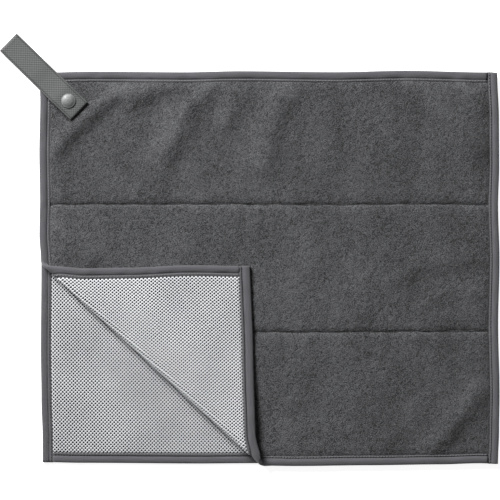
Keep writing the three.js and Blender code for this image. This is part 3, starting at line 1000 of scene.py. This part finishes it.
@dataclass
class MeshPanel:
    """A leaf's mesh panel: knitted with rows of small holes where it shows, plain where it is covered."""

    leaf: Leaf
    node: str
    knit_to: float
    tape_left: float
    tape_bottom: float
    overlap: float = 8.0
    pitch: tuple[float, float] = (3.75, 3.86)
    hole: tuple[float, float] = (0.94, 0.96)
    thread_rise: tuple[float, float, float] = (0.3, 0.38, 0.0)
    tape_other: float = 10.6
    field: tuple[float, float] = (0.0, 0.85)
    edge: tuple[float, float] = (1.3, 1.65)
    drop_from: float = 0.4
    drop_over: float = 1.8
    rise_from: float = 0.6
    rise_over: float = 1.6
    knit_from: float = 7.5
    inset: float = 1.6
    plain_step: float = 7.0

    def past_tape(self, u: Array, v: Array) -> Array:
        """How far a place lies past the inner edge of the nearest tape.

        Args:
            u: Places along the cloth's width.
            v: Places along its height.

        Returns:
            The distances, below 0 under the tape.
        """
        left_bottom = np.minimum(u - self.tape_left, v - self.tape_bottom)
        return np.minimum(left_bottom, np.minimum(WIDTH - u, HEIGHT - v) - self.tape_other)

    def heights(self, u: Array, v: Array) -> tuple[Array, Array]:
        """The panel's low and high faces over the leaf's mesh face.

        Args:
            u: Places along the cloth's width.
            v: Places along its height.

        Returns:
            The heights of the low and the high face.
        """
        share = smooth((self.past_tape(u, v) + self.drop_from) / self.drop_over)
        low = self.edge[0] + (self.field[0] - self.edge[0]) * share
        high = self.edge[1] + (self.field[1] - self.edge[1]) * share
        return low, high

    def knitted(self, u: Array, v: Array) -> Array:
        """Where the panel is knitted: on the corner that shows, and a little past the crease."""
        return UPPER.past_crease(*self.leaf.lay_out(u, v)) < self.knit_to

    def knit(self) -> tuple[Array, Array, Array]:
        """The knitted part's points, quads and the threads' rise at each point.

        Returns:
            The points as rows of u and v, the quads, and the rise.
        """
        quarter_u, half_v = self.pitch[0] / 4, self.pitch[1] / 4
        rows, columns = int(HEIGHT / half_v / 2) + 1, int(WIDTH / self.pitch[0]) + 1
        j, i = (grid.ravel() for grid in np.mgrid[0:rows, 0:columns])
        p, q = 4 * i + 2 * (j % 2), 2 * j
        u, v = p * quarter_u, q * half_v
        kept = self.knitted(u, v) & (to_edge(u, v) > self.knit_from)
        p, q, u, v = p[kept], q[kept], u[kept], v[kept]
        ring = np.array([(2, 0), (1, 1), (0, 2), (-1, 1), (-2, 0), (-1, -1), (0, -2), (1, -1)])
        corner, side, cross = self.thread_rise
        rise = np.array([corner, cross, corner, side] * 2)
        ring_p, ring_q = p[:, None] + ring[:, 0], q[:, None] + ring[:, 1]
        stride = 100000
        key = ring_p * stride + ring_q
        _, first, outer = np.unique(key.ravel(), return_index=True, return_inverse=True)
        ring_u, ring_v = (ring_p * quarter_u).ravel()[first], (ring_q * half_v).ravel()[first]
        ring_rise = np.tile(rise, len(p))[first]
        turn = np.arange(8) * math.pi / 4
        hole_u = (u[:, None] + self.hole[0] * np.cos(turn)).ravel()
        hole_v = (v[:, None] + self.hole[1] * np.sin(turn)).ravel()
        outer = outer.reshape(len(p), 8)
        inner = len(first) + np.arange(8 * len(p)).reshape(len(p), 8)
        quads = np.stack([outer, np.roll(outer, -1, 1), np.roll(inner, -1, 1), inner], axis=-1)
        points = np.column_stack([np.append(ring_u, hole_u), np.append(ring_v, hole_v)])
        return points, quads.reshape(-1, 4), np.append(ring_rise, np.zeros(hole_u.size))

    def build(self, finish: bpy.types.Material) -> bpy.types.Object:
        """Builds the panel: its knitted part and its plain part, each closed.

        Args:
            finish: The mesh's material.

        Returns:
            The panel's object.
        """
        shell = Shell()
        points, faces, rise = self.knit()
        u, v = points.T
        low, high = self.heights(u, v)
        calm = smooth((self.past_tape(u, v) + self.rise_from) / self.rise_over)
        Slab(self.leaf.place, points, faces, low - rise * calm, high, self.leaf.mesh_up).add_to(shell)
        across = np.linspace(self.inset, WIDTH - self.inset, round(WIDTH / self.plain_step))
        up = np.linspace(self.inset, HEIGHT - self.inset, round(HEIGHT / self.plain_step))
        u, v = (grid.ravel() for grid in np.meshgrid(across, up))
        faces = grid_faces(len(across), len(up))
        plain = ~self.knitted(u, v - self.overlap)
        faces = faces[plain[faces].all(axis=1)]
        used, faces = np.unique(faces, return_inverse=True)
        u, v = u[used], v[used]
        low, high = self.heights(u, v)
        points = np.column_stack([u, v])
        Slab(self.leaf.place, points, faces.reshape(-1, 4), low, high, self.leaf.mesh_up).add_to(shell)
        return declare(shell.to_object(self.node + "_knit", finish), (self.node,))


@dataclass(frozen=True)
class Fold:
    """How the tape lies on one face: where its puffed band, stitching and inner edge are, and its depths."""

    band: float = 7.0
    stitch: float = 8.4
    edge: float = 9.9
    flange: float = 1.2
    groove: float = 1.65


@dataclass
class BindingTape:
    """One length of the tape folded round a leaf's edge, swept along it as one closed shell."""

    leaf: Leaf
    node: str
    side: Side
    terry: Fold
    mesh: Fold
    ends: tuple[float, float]
    step: float
    wall: float = 0.75
    fold_in: float = 0.12
    end_share: float = 0.82
    end_over: float = 1.2
    pucker: float = 0.12
    pucker_steps: int = 5
    pucker_within: float = 7.0

    def half_profile(self, fold: Fold) -> list[tuple[float, float, float]]:
        """One face's half of the tape in section, from its inner edge out to the fold.

        Args:
            fold: How the tape lies on this face.

        Returns:
            Rows of the distance in from the edge, the outer skin's depth and the tape's thickness.
        """
        band, edge, flange, groove = fold.band, fold.edge, fold.flange, fold.groove
        return [
            (edge, flange + 0.35, 0.2),
            (edge - 0.4, flange + 0.03, 0.35),
            ((edge + band) / 2 + 0.4, flange - 0.08, 0.35),
            (band + 1.25, flange + 0.02, 0.35),
            (band + 0.75, groove, 0.3),
            (band + 0.1, groove - 0.05, 0.3),
            (band - 0.35, groove * 0.5, 0.45),
            (band - 1.0, 0.15, self.wall),
            (band * 0.5, -0.2, self.wall),
            (1.9, -0.02, self.wall),
            (1.0, 0.3, self.wall),
            (0.4, 0.85, self.wall),
        ]

    def skins(self) -> tuple[Array, Array]:
        """The tape's skins in section.

        Returns:
            The outer and the inner skin, as rows of distance in and height over the mesh face.
        """
        outer, inner = [], []
        for x, depth, thick in self.half_profile(self.terry):
            outer.append((x, STACK - depth))
            inner.append((max(x, self.wall), STACK - depth - thick))
        outer.append((self.fold_in, STACK / 2))
        inner.append((self.wall + self.fold_in, STACK / 2))
        for x, depth, thick in reversed(self.half_profile(self.mesh)):
            outer.append((x, depth))
            inner.append((max(x, self.wall), depth + thick))
        return np.array(outer), np.array(inner)

    def build(self, finish: bpy.types.Material) -> bpy.types.Object:
        """Sweeps the section along the edge and closes its ends.

        Args:
            finish: The tape's material.

        Returns:
            The tape's object.
        """
        start, end = self.ends
        count = round((end - start) / self.step) + 1
        lengthwise = np.linspace(start, end, count)
        outer, inner = self.skins()
        section = np.concatenate([outer, inner[::-1]])
        around = len(section)
        rng = np.random.default_rng(len(self.node) * 31 + count)
        places = count // self.pucker_steps + 2
        wave = np.interp(lengthwise, np.linspace(start, end, places), rng.standard_normal(places))
        t = np.repeat(lengthwise, around)
        x = np.tile(section[:, 0], count)
        h = np.tile(section[:, 1], count)
        puffed = np.tile(np.clip(np.abs(section[:, 1] - STACK / 2) / (STACK / 2), 0, 1.05), count)
        inside = np.tile(np.r_[np.ones(len(outer)), np.zeros(len(inner))], count)
        pucker = self.pucker * np.repeat(wave, around) * (x < self.pucker_within)
        h = h + inside * np.sign(h - STACK / 2) * puffed * pucker
        if not isinstance(self.leaf, TurnedLeaf):
            h = np.clip(h, 0, STACK)
        near_end = np.minimum(t - start, end - t)
        swell = self.end_share + (1 - self.end_share) * smooth(near_end / self.end_over)
        h = STACK / 2 + (h - STACK / 2) * swell
        u, v = self.side.cloth_point(t, x)
        shell = Shell()
        across = np.tile(np.cumsum(np.r_[0, np.hypot(*np.diff(section, axis=0).T)]), count)
        numbers = shell.add_points(self.leaf.place(u, v, h), np.column_stack([t, across]))
        numbers = numbers.reshape(count, around)
        a, b = numbers[:-1], numbers[1:]
        skin = np.stack([a, np.roll(a, -1, 1), np.roll(b, -1, 1), b], axis=-1).reshape(-1, 4)
        shell.add_faces(skin)
        half = len(outer)
        for ring, order in ((numbers[0], 1), (numbers[-1], -1)):
            for i in range(half - 1):
                face = [int(n) for n in (ring[i], ring[i + 1], ring[around - 2 - i], ring[around - 1 - i])]
                shell.add_faces([face[::-1][::order]])
        made = shell.to_object(self.node + "_tape", finish)
        make_outward(made)
        return declare(made, (self.node,))


def make_outward(piece: bpy.types.Object) -> None:
    """Turns every face of a closed piece outwards.

    Args:
        piece: The piece.
    """
    alone(piece)
    bpy.ops.object.mode_set(mode="EDIT")
    bpy.ops.mesh.select_all(action="SELECT")
    bpy.ops.mesh.normals_make_consistent(inside=False)
    bpy.ops.object.mode_set(mode="OBJECT")
    piece.select_set(False)


def alone(piece: bpy.types.Object | None) -> None:
    """Deselects everything, then selects the piece, if one is given.

    Args:
        piece: The piece, which is made active too.
    """
    bpy.ops.object.select_all(action="DESELECT")
    if piece is not None:
        piece.select_set(True)
        bpy.context.view_layer.objects.active = piece


@dataclass
class Stitch:
    """One stitch, modelled once: a short thread that dips into the cloth at both ends."""

    length: float = 2.6
    thick: float = 0.7
    dip: float = 0.45
    points: Array = field(init=False)
    faces: list[list[int]] = field(init=False)

    def __post_init__(self) -> None:
        """Models the stitch and keeps its points along, across and up, in millimetres."""
        alone(None)
        bpy.ops.mesh.primitive_uv_sphere_add(segments=6, ring_count=5, radius=0.5)
        bpy.ops.object.mode_set(mode="EDIT")
        bpy.ops.mesh.select_all(action="SELECT")
        bpy.ops.transform.rotate(value=math.pi / 2, orient_axis="Y", center_override=(0, 0, 0))
        bpy.ops.transform.resize(value=(self.length, self.thick, self.thick), center_override=(0, 0, 0))
        bpy.ops.object.mode_set(mode="OBJECT")
        made = bpy.context.object
        self.points = np.array([point.co[:] for point in made.data.vertices])
        dipped = (2 * self.points[:, 0] / self.length) ** 4
        self.points[:, 2] -= self.dip * self.thick * dipped
        self.faces = [list(face.vertices) for face in made.data.polygons]
        bpy.data.objects.remove(made)


@dataclass
class StitchRun:
    """A row of stitches along a line of the cloth, on one of its faces."""

    leaf: Leaf
    face: Face
    start: tuple[float, float]
    end: tuple[float, float]
    depth: float
    pitch: float = 2.95
    sway: float = 0.08
    proud: float = 0.25

    def add_to(self, shell: Shell, stitch: Stitch, seed: int) -> None:
        """Adds the row's stitches to a piece.

        Args:
            shell: The piece.
            stitch: The stitch that is copied.
            seed: What the row's sway comes from.
        """
        rng = np.random.default_rng(seed)
        first, last = np.array(self.start), np.array(self.end)
        length = float(np.linalg.norm(last - first))
        count = int(length / self.pitch)
        heading = (last - first) / length
        aside = np.array([-heading[1], heading[0]])
        middles = (np.arange(count) + 0.5) * length / count
        sway = rng.normal(0, self.sway, count)
        along = middles[:, None] + stitch.points[None, :, 0]
        across = sway[:, None] + stitch.points[None, :, 1]
        places = first + along[..., None] * heading + across[..., None] * aside
        up = stitch.points[None, :, 2] + np.zeros((count, 1))
        if self.face is Face.TERRY:
            height = STACK - self.depth + up
        else:
            height = self.depth - up
        u, v = places[..., 0].ravel(), places[..., 1].ravel()
        cloth_map = np.column_stack([along.ravel(), across.ravel()])
        numbers = shell.add_points(self.leaf.place(u, v, height.ravel()), cloth_map)
        each = len(stitch.points)
        for number in range(count):
            base = int(numbers[0]) + number * each
            shell.add_faces([[base + corner for corner in face] for face in stitch.faces])


def edge_run(leaf: Leaf, side: Side, face: Face, fold: Fold, ends: tuple[float, float]) -> StitchRun:
    """The row of stitches that holds a tape down on one face.

    Args:
        leaf: The leaf.
        side: The edge that the tape binds.
        face: The face with the row.
        fold: How the tape lies there.
        ends: Where the row starts and ends along the edge.

    Returns:
        The row.
    """
    points = [side.cloth_point(np.float64(place), np.float64(fold.stitch)) for place in ends]
    start, end = [(float(u), float(v)) for u, v in points]
    return StitchRun(leaf, face, start, end, fold.flange - StitchRun.proud)


@dataclass
class HangingStrap:
    """The flat webbing: a loop out past the corner, over it, and a free end turned under."""

    node: str = "strap"
    loop_end: tuple[float, float] = LOOP_END
    turn: float = STRAP_TURN
    width: float = 25.3
    aside: float = -0.45
    thick: float = 1.3
    weave_pitch: float = 2.65
    weave_rise: float = 0.17
    selvedge: float = 1.5
    selvedge_over: float = 0.4
    selvedge_rib: float = 0.7
    groove: tuple[float, float] = (1.6, 0.3)
    rounding: tuple[float, float] = (0.45, 0.6)
    rim_step: float = 0.25
    rim_gap: float = 0.4
    path: tuple[tuple[float, float], ...] = (
        (78, 5.0), (60, 5.0), (46, 5.0), (30, 4.6), (14, 4.0), (5, 3.62), (2.55, 3.6), (1.2, 4.16),
        (0.65, 5.5), (1.2, 6.84), (2.55, 7.4), (5, 7.45), (14, 8.0), (30, 9.4), (44, 10.75), (54, 11.1),
        (66, 12.3), (76, 13.8), (80, 13.95), (92, 13.95), (101.0, 13.95), (101.8, 13.6), (101.85, 12.7),
        (101.0, 12.35), (94.5, 12.35),
    )

    def centreline(self) -> Array:
        """The path as a smooth line of close points.

        Returns:
            Rows of the distance out and the height.
        """
        rows = np.array(self.path)
        padded = np.concatenate([[2 * rows[0] - rows[1]], rows, [2 * rows[-1] - rows[-2]]])
        line = []
        for p0, p1, p2, p3 in zip(padded, padded[1:], padded[2:], padded[3:]):
            t0, t1 = 0.0, np.linalg.norm(p1 - p0) ** 0.5
            t2 = t1 + np.linalg.norm(p2 - p1) ** 0.5
            t3 = t2 + np.linalg.norm(p3 - p2) ** 0.5
            t = np.linspace(t1, t2, 40, endpoint=False)[:, None]
            a1 = (t1 - t) / (t1 - t0) * p0 + (t - t0) / (t1 - t0) * p1
            a2 = (t2 - t) / (t2 - t1) * p1 + (t - t1) / (t2 - t1) * p2
            a3 = (t3 - t) / (t3 - t2) * p2 + (t - t2) / (t3 - t2) * p3
            b1 = (t2 - t) / (t2 - t0) * a1 + (t - t0) / (t2 - t0) * a2
            b2 = (t3 - t) / (t3 - t1) * a2 + (t - t1) / (t3 - t1) * a3
            line.append((t2 - t) / (t2 - t1) * b1 + (t - t1) / (t2 - t1) * b2)
        return np.concatenate([*line, [rows[-1]]])

    def length(self) -> float:
        """The webbing's real length."""
        return float(np.hypot(*np.diff(self.centreline(), axis=0).T).sum())

    def place(self, along: Array, across: Array, height: Array) -> Array:
        """Places points of the flat webbing in the part's own frame.

        Args:
            along: Distances along the webbing.
            across: Distances from its middle line.
            height: Heights over its middle layer.

        Returns:
            One row of x, y and z a point, in metres.
        """
        line = self.centreline()
        run = np.r_[0, np.cumsum(np.hypot(*np.diff(line, axis=0).T))]
        out, up = np.interp(along, run, line[:, 0]), np.interp(along, run, line[:, 1])
        ahead, behind = np.minimum(along + 0.25, run[-1]), np.maximum(along - 0.25, 0)
        heading = np.stack([
            np.interp(ahead, run, line[:, 0]) - np.interp(behind, run, line[:, 0]),
            np.interp(ahead, run, line[:, 1]) - np.interp(behind, run, line[:, 1]),
        ])
        heading /= np.linalg.norm(heading, axis=0)
        out = out - heading[1] * height
        z = up + heading[0] * height
        across = across + self.aside
        x = self.loop_end[0] + math.cos(self.turn) * out - math.sin(self.turn) * across
        y = self.loop_end[1] + math.sin(self.turn) * out + math.cos(self.turn) * across
        return np.column_stack([x - PLAN_MIDDLE[0], y - PLAN_MIDDLE[1], z]) * MM

    def build(self, finish: bpy.types.Material) -> bpy.types.Object:
        """Builds the webbing with its weave raised on both faces.

        Args:
            finish: The webbing's material.

        Returns:
            The webbing's object.
        """
        step = self.weave_pitch / 4
        length = self.length()
        rows = round(length / step) + 1
        rim = self.width / 2
        steps = int(rim / step)
        inner = np.arange(-steps, steps + 1) * step
        inner = inner[np.abs(inner) < rim - self.rim_gap]
        across = np.r_[-rim, -rim + self.rim_step, inner, rim - self.rim_step, rim]
        s, b = (grid.ravel() for grid in np.meshgrid(np.linspace(0, length, rows), across, indexing="ij"))
        phase = 2 * math.pi / self.weave_pitch
        woven = np.cos(phase * s) * np.cos(phase * b)
        from_edge = rim - np.abs(b)
        selvedge = smooth((self.selvedge + self.selvedge_over - from_edge) / self.selvedge_over)
        woven = woven * (1 - selvedge) + selvedge * self.selvedge_rib * np.cos(2 * phase * s)
        deep, reach = self.groove
        groove = -deep * np.exp(-(((from_edge - self.selvedge - reach) / reach) ** 2))
        relief = self.weave_rise * (woven + groove)
        thinner, over = self.rounding
        round_edge = 1 - thinner * (1 - smooth(from_edge / over))
        half = self.thick / 2 * round_edge
        # The tone follows the weave's relief: painted shade in its hollows and in the grooves by the
        # selvedges, kept as the weave attribute.
        tone = np.clip(0.5 + 0.5 * (woven + groove), 0, 1)
        points = np.column_stack([s, b])
        faces = grid_faces(len(across), rows)
        shell = Shell()
        Slab(self.place, points, faces, -half - relief, half + relief).add_to(shell, tone)
        made = shell.to_object("strap_webbing", finish, "weave")
        make_outward(made)
        return declare(made, (self.node,))


@dataclass
class SnapFastener:
    """The snap: a domed cap, a socket under the webbing and a stud on the terry, turned as by a lathe."""

    place: tuple[float, float] = (
        (LOOP_END[0] + SNAP_OUT * math.cos(SNAP_TURN) - PLAN_MIDDLE[0]) * MM,
        (LOOP_END[1] + SNAP_OUT * math.sin(SNAP_TURN) - PLAN_MIDDLE[1]) * MM,
    )
    sides: int = 72
    merge: float = 0.00002
    sharp: float = 38.0
    cap: tuple[tuple[float, float], ...] = (
        (0.8, 12.4), (2.0, 12.4), (2.0, 14.95), (6.6, 14.95), (6.95, 15.0), (7.2, 15.15), (7.3, 15.4),
        (7.25, 15.62), (7.05, 15.8), (6.75, 15.86), (6.5, 15.84), (6.25, 15.92), (5.6, 16.3), (4.7, 16.68),
        (3.6, 16.98), (2.4, 17.18), (1.2, 17.27), (0.4, 17.3),
    )
    socket: tuple[tuple[float, float], ...] = (
        (3.2, 11.4), (5.6, 11.4), (5.9, 11.5), (6.0, 11.75), (6.0, 12.7), (5.8, 12.95), (5.5, 13.0),
        (2.3, 13.0), (2.3, 12.4), (3.2, 12.4),
    )
    stud: tuple[tuple[float, float], ...] = (
        (0.8, 5.1), (4.3, 5.1), (4.5, 5.4), (4.3, 5.7), (1.7, 5.7), (1.7, 10.5), (5.8, 10.5), (6.0, 10.7),
        (5.8, 11.05), (2.5, 11.1), (2.4, 11.3), (2.85, 11.45), (2.9, 11.6), (2.6, 11.9), (2.2, 12.0),
        (0.8, 12.0),
    )

    def turned(self, name: str, profile: tuple[tuple[float, float], ...], hollow: bool) -> bpy.types.Object:
        """Turns a profile: a ring is drawn out point by point and its ends are filled or joined.

        Args:
            name: The piece's name.
            profile: Rows of radius and height, in millimetres.
            hollow: Whether the profile closes on itself rather than at the axis.

        Returns:
            The piece's object.
        """
        alone(None)
        x, y = self.place
        radius, height = profile[0]
        start = (x, y, height * MM)
        bpy.ops.mesh.primitive_circle_add(vertices=self.sides, radius=radius * MM, location=start)
        made = bpy.context.object
        made.name = name
        made.data.name = name
        bpy.ops.object.transform_apply(location=True, rotation=True, scale=True)
        bpy.ops.object.mode_set(mode="EDIT")
        bpy.ops.mesh.select_all(action="SELECT")
        closing = [profile[0]] if hollow else []
        for next_radius, next_height in [*profile[1:], *closing]:
            bpy.ops.mesh.extrude_edges_move()
            bpy.ops.transform.translate(value=(0, 0, (next_height - height) * MM))
            grown = next_radius / radius
            bpy.ops.transform.resize(value=(grown, grown, 1), center_override=(x, y, next_height * MM))
            radius, height = next_radius, next_height
        if hollow:
            bpy.ops.mesh.select_all(action="SELECT")
            bpy.ops.mesh.remove_doubles(threshold=self.merge)
        else:
            bpy.ops.mesh.edge_face_add()
            bpy.ops.mesh.select_all(action="DESELECT")
            bpy.ops.mesh.select_non_manifold()
            bpy.ops.mesh.edge_face_add()
        bpy.ops.mesh.select_all(action="SELECT")
        bpy.ops.mesh.normals_make_consistent(inside=False)
        bpy.ops.object.mode_set(mode="OBJECT")
        bpy.ops.object.shade_smooth_by_angle(angle=math.radians(self.sharp))
        return made

    def build(self, finish: bpy.types.Material) -> list[bpy.types.Object]:
        """Turns the three pieces.

        Args:
            finish: The metal's material.

        Returns:
            The cap, the socket and the stud.
        """
        made = []
        for node, profile, hollow in (
            ("snap_cap", self.cap, False),
            ("snap_socket", self.socket, True),
            ("snap_stud", self.stud, False),
        ):
            piece = self.turned(node + "_turned", profile, hollow)
            piece.data.materials.append(finish)
            made.append(declare(piece, (node,)))
        return made


@dataclass(frozen=True)
class Lamp:
    """A square lamp that faces the towel's middle."""

    energy: float
    size: float
    place: tuple[float, float, float]

    def add(self) -> None:
        """Puts the lamp in its place."""
        alone(None)
        bpy.ops.object.light_add(type="AREA", location=self.place)
        lamp = bpy.context.object
        lamp.data.energy = self.energy
        lamp.data.size = self.size
        lamp.rotation_euler = (-lamp.location).to_track_quat("-Z", "Y").to_euler()


@dataclass
class Studio:
    """A plain white floor, soft light from the upper left, and the camera straight above."""

    seen_width: float = 0.5117
    seen_height: float = 0.009
    lens: float = 200.0
    sensor: float = 36.0
    over: tuple[float, float] = (0.00015, -0.00025)
    lamp: Lamp = Lamp(energy=178, size=1.2, place=(-1.42, 1.8, 1.55))
    sky: float = 0.12
    floor_size: float = 8.0
    floor_drop: float = 0.0001
    floor_grey: float = 0.86
    floor_glow: float = 0.85

    def floor(self) -> None:
        """Lays the floor."""
        alone(None)
        bpy.ops.mesh.primitive_plane_add(size=self.floor_size, location=(0, 0, -self.floor_drop))
        floor = bpy.context.object
        floor.name = "floor"
        made = Recipe("floor")
        grey = self.floor_grey
        made.set(
            Base_Color=(grey, grey, grey, 1), Roughness=1.0, Specular_IOR_Level=0.0,
            Emission_Color=(1, 1, 1, 1), Emission_Strength=self.floor_glow,
        )
        floor.data.materials.append(made.material)

    def light(self) -> None:
        """Sets the lamp and the sky."""
        self.lamp.add()
        world = bpy.data.worlds.new("sky")
        world.use_nodes = True
        background = world.node_tree.nodes["Background"]
        background.inputs["Color"].default_value = (1, 1, 1, 1)
        background.inputs["Strength"].default_value = self.sky
        bpy.context.scene.world = world
        bpy.context.scene.view_settings.view_transform = "Standard"

    def camera(self) -> None:
        """Hangs the camera straight over the towel."""
        alone(None)
        distance = self.seen_width * self.lens / self.sensor
        bpy.ops.object.camera_add(location=(*self.over, self.seen_height + distance), rotation=(0, 0, 0))
        camera = bpy.context.object
        camera.data.lens = self.lens
        camera.data.sensor_width = self.sensor
        camera.data.clip_end = 20
        bpy.context.scene.camera = camera

    def build(self) -> None:
        """Sets up the floor, light and camera."""
        self.camera()
        self.floor()
        self.light()


# The tape at a leaf's corners, in millimetres: the width of the length on top, and the gap beside it.
TAPE = 10.5
GAP = 0.3

# How far the tape's stitches stay from its ends.
STITCH_IN = 1.0

# How deep the quilting's stitches lie in the terry.
QUILT_DEPTH = 2.3

# How the tape lies on each face, by side: band, stitching, inner edge, flange and groove.
TERRY_FOLDS = {
    Side.LEFT: Fold(7.8, 9.2, 10.8, 1.0, 1.4),
    Side.RIGHT: Fold(7.0, 8.4, 9.9, 1.2, 1.85),
    Side.TOP: Fold(7.6, 9.1, 10.6, 0.9, 1.25),
    Side.BOTTOM: Fold(7.7, 9.0, 10.2, 1.2, 1.85),
}
PLAIN_MESH_FOLD = Fold(7.0, 8.6, 10.6, 0.55, 1.0)
MESH_FOLDS = {
    ("upper", Side.LEFT): Fold(7.9, 9.9, 12.4, 0.55, 1.0),
    ("upper", Side.BOTTOM): Fold(7.6, 9.1, 11.2, 0.55, 1.0),
    ("lower", Side.LEFT): Fold(7.0, 9.2, 11.0, 0.55, 1.0),
    ("lower", Side.BOTTOM): Fold(7.0, 8.5, 10.3, 0.55, 1.0),
}


def terry_fold(leaf: Leaf, side: Side) -> Fold:
    """How the tape lies on the terry at a side of a leaf."""
    return TERRY_FOLDS[side] if isinstance(leaf, TurnedLeaf) else Fold()


def tape_ends(leaf: Leaf, side: Side) -> tuple[float, float]:
    """Where a length of tape starts and ends along its edge, by which is on top at each corner.

    Args:
        leaf: The leaf.
        side: The edge.

    Returns:
        The start and the end.
    """
    short = (TAPE + GAP, side.span - TAPE - GAP)
    swapped = isinstance(leaf, TurnedLeaf) and side in (Side.LEFT, Side.BOTTOM)
    start = short[0] if side.upright == swapped else 0.0
    return start, side.span if side.upright else short[1]


@dataclass
class Towel:
    """The whole towel, built leaf by leaf."""

    finishes: Finishes

    def leaf_sheets(self) -> None:
        """Builds the four panels."""
        edges = tuple(TERRY_FOLDS[side].edge for side in Side)
        upper = TerryPanel(UPPER, "upper_terry", SEAMS, tape_edges=edges)
        upper_terry = upper.build(self.finishes.terry)
        lower_terry = TerryPanel(LOWER, "lower_terry", spacing=2.7, seed=29).build(self.finishes.terry)
        left, bottom = (MESH_FOLDS["upper", side].edge for side in (Side.LEFT, Side.BOTTOM))
        upper = MeshPanel(UPPER, "upper_mesh", knit_to=10.5, tape_left=left, tape_bottom=bottom)
        upper_mesh = upper.build(self.finishes.mesh)
        left, bottom = (MESH_FOLDS["lower", side].edge for side in (Side.LEFT, Side.BOTTOM))
        lower = MeshPanel(LOWER, "lower_mesh", knit_to=12.0, tape_left=left, tape_bottom=bottom)
        lower_mesh = lower.build(self.finishes.lower_mesh)

    def bindings(self) -> None:
        """Builds the eight lengths of tape."""
        for word, leaf, step in (("upper", UPPER, 1.6), ("lower", LOWER, 2.4)):
            for side in Side:
                node = f"{word}_binding_{side.value}"
                fold = MESH_FOLDS.get((word, side), PLAIN_MESH_FOLD)
                ends = tape_ends(leaf, side)
                terry = terry_fold(leaf, side)
                tape = BindingTape(leaf, node, side, terry, fold, ends, step)
                made = tape.build(self.finishes.tape)

    def stitching(self) -> None:
        """Builds the rows of stitches on the tape and along the quilt seams."""
        stitch = Stitch()
        for word, leaf in (("upper", UPPER), ("lower", LOWER)):
            light, dark = Shell(), Shell()
            for number, side in enumerate(Side):
                ends = tape_ends(leaf, side)
                ends = (ends[0] + STITCH_IN, ends[1] - STITCH_IN)
                fold = MESH_FOLDS.get((word, side), PLAIN_MESH_FOLD)
                on_terry = terry_fold(leaf, side)
                edge_run(leaf, side, Face.TERRY, on_terry, ends).add_to(light, stitch, 3 + number)
                # The upper leaf's left edge lies at the flap's top and faces the lamp, so its mesh-side
                # stitches take the light thread: a painted highlight on stitches that are dark on every
                # other mesh-side row.
                shell = light if (word, side) == ("upper", Side.LEFT) else dark
                edge_run(leaf, side, Face.MESH, fold, ends).add_to(shell, stitch, 13 + number)
            declare(light.to_object(word + "_edge_stitching", self.finishes.thread), ())
            declare(dark.to_object(word + "_mesh_stitching", self.finishes.dark_thread), ())
        quilting = Shell()
        for number, seam in enumerate(SEAMS):
            run = StitchRun(UPPER, Face.TERRY, (TAPE, seam), (WIDTH - TAPE, seam), QUILT_DEPTH)
            run.add_to(quilting, stitch, 23 + number)
        declare(quilting.to_object("quilt_stitching", self.finishes.dark_thread), ())

    def strap_and_snap(self) -> None:
        """Builds the strap and its snap."""
        strap = HangingStrap()
        webbing = strap.build(self.finishes.webbing)
        flat = (strap.width * MM, strap.length() * MM)
        SnapFastener().build(self.finishes.metal)

    def build(self) -> None:
        """Builds every piece, panels first."""
        self.leaf_sheets()
        self.bindings()
        self.stitching()
        self.strap_and_snap()


def main() -> None:
    """Builds the studio and the towel."""
    logging.basicConfig(level=logging.INFO, format="%(name)s %(message)s")
    Studio().build()
    Towel(Finishes()).build()


if __name__ == "__main__":
    main()
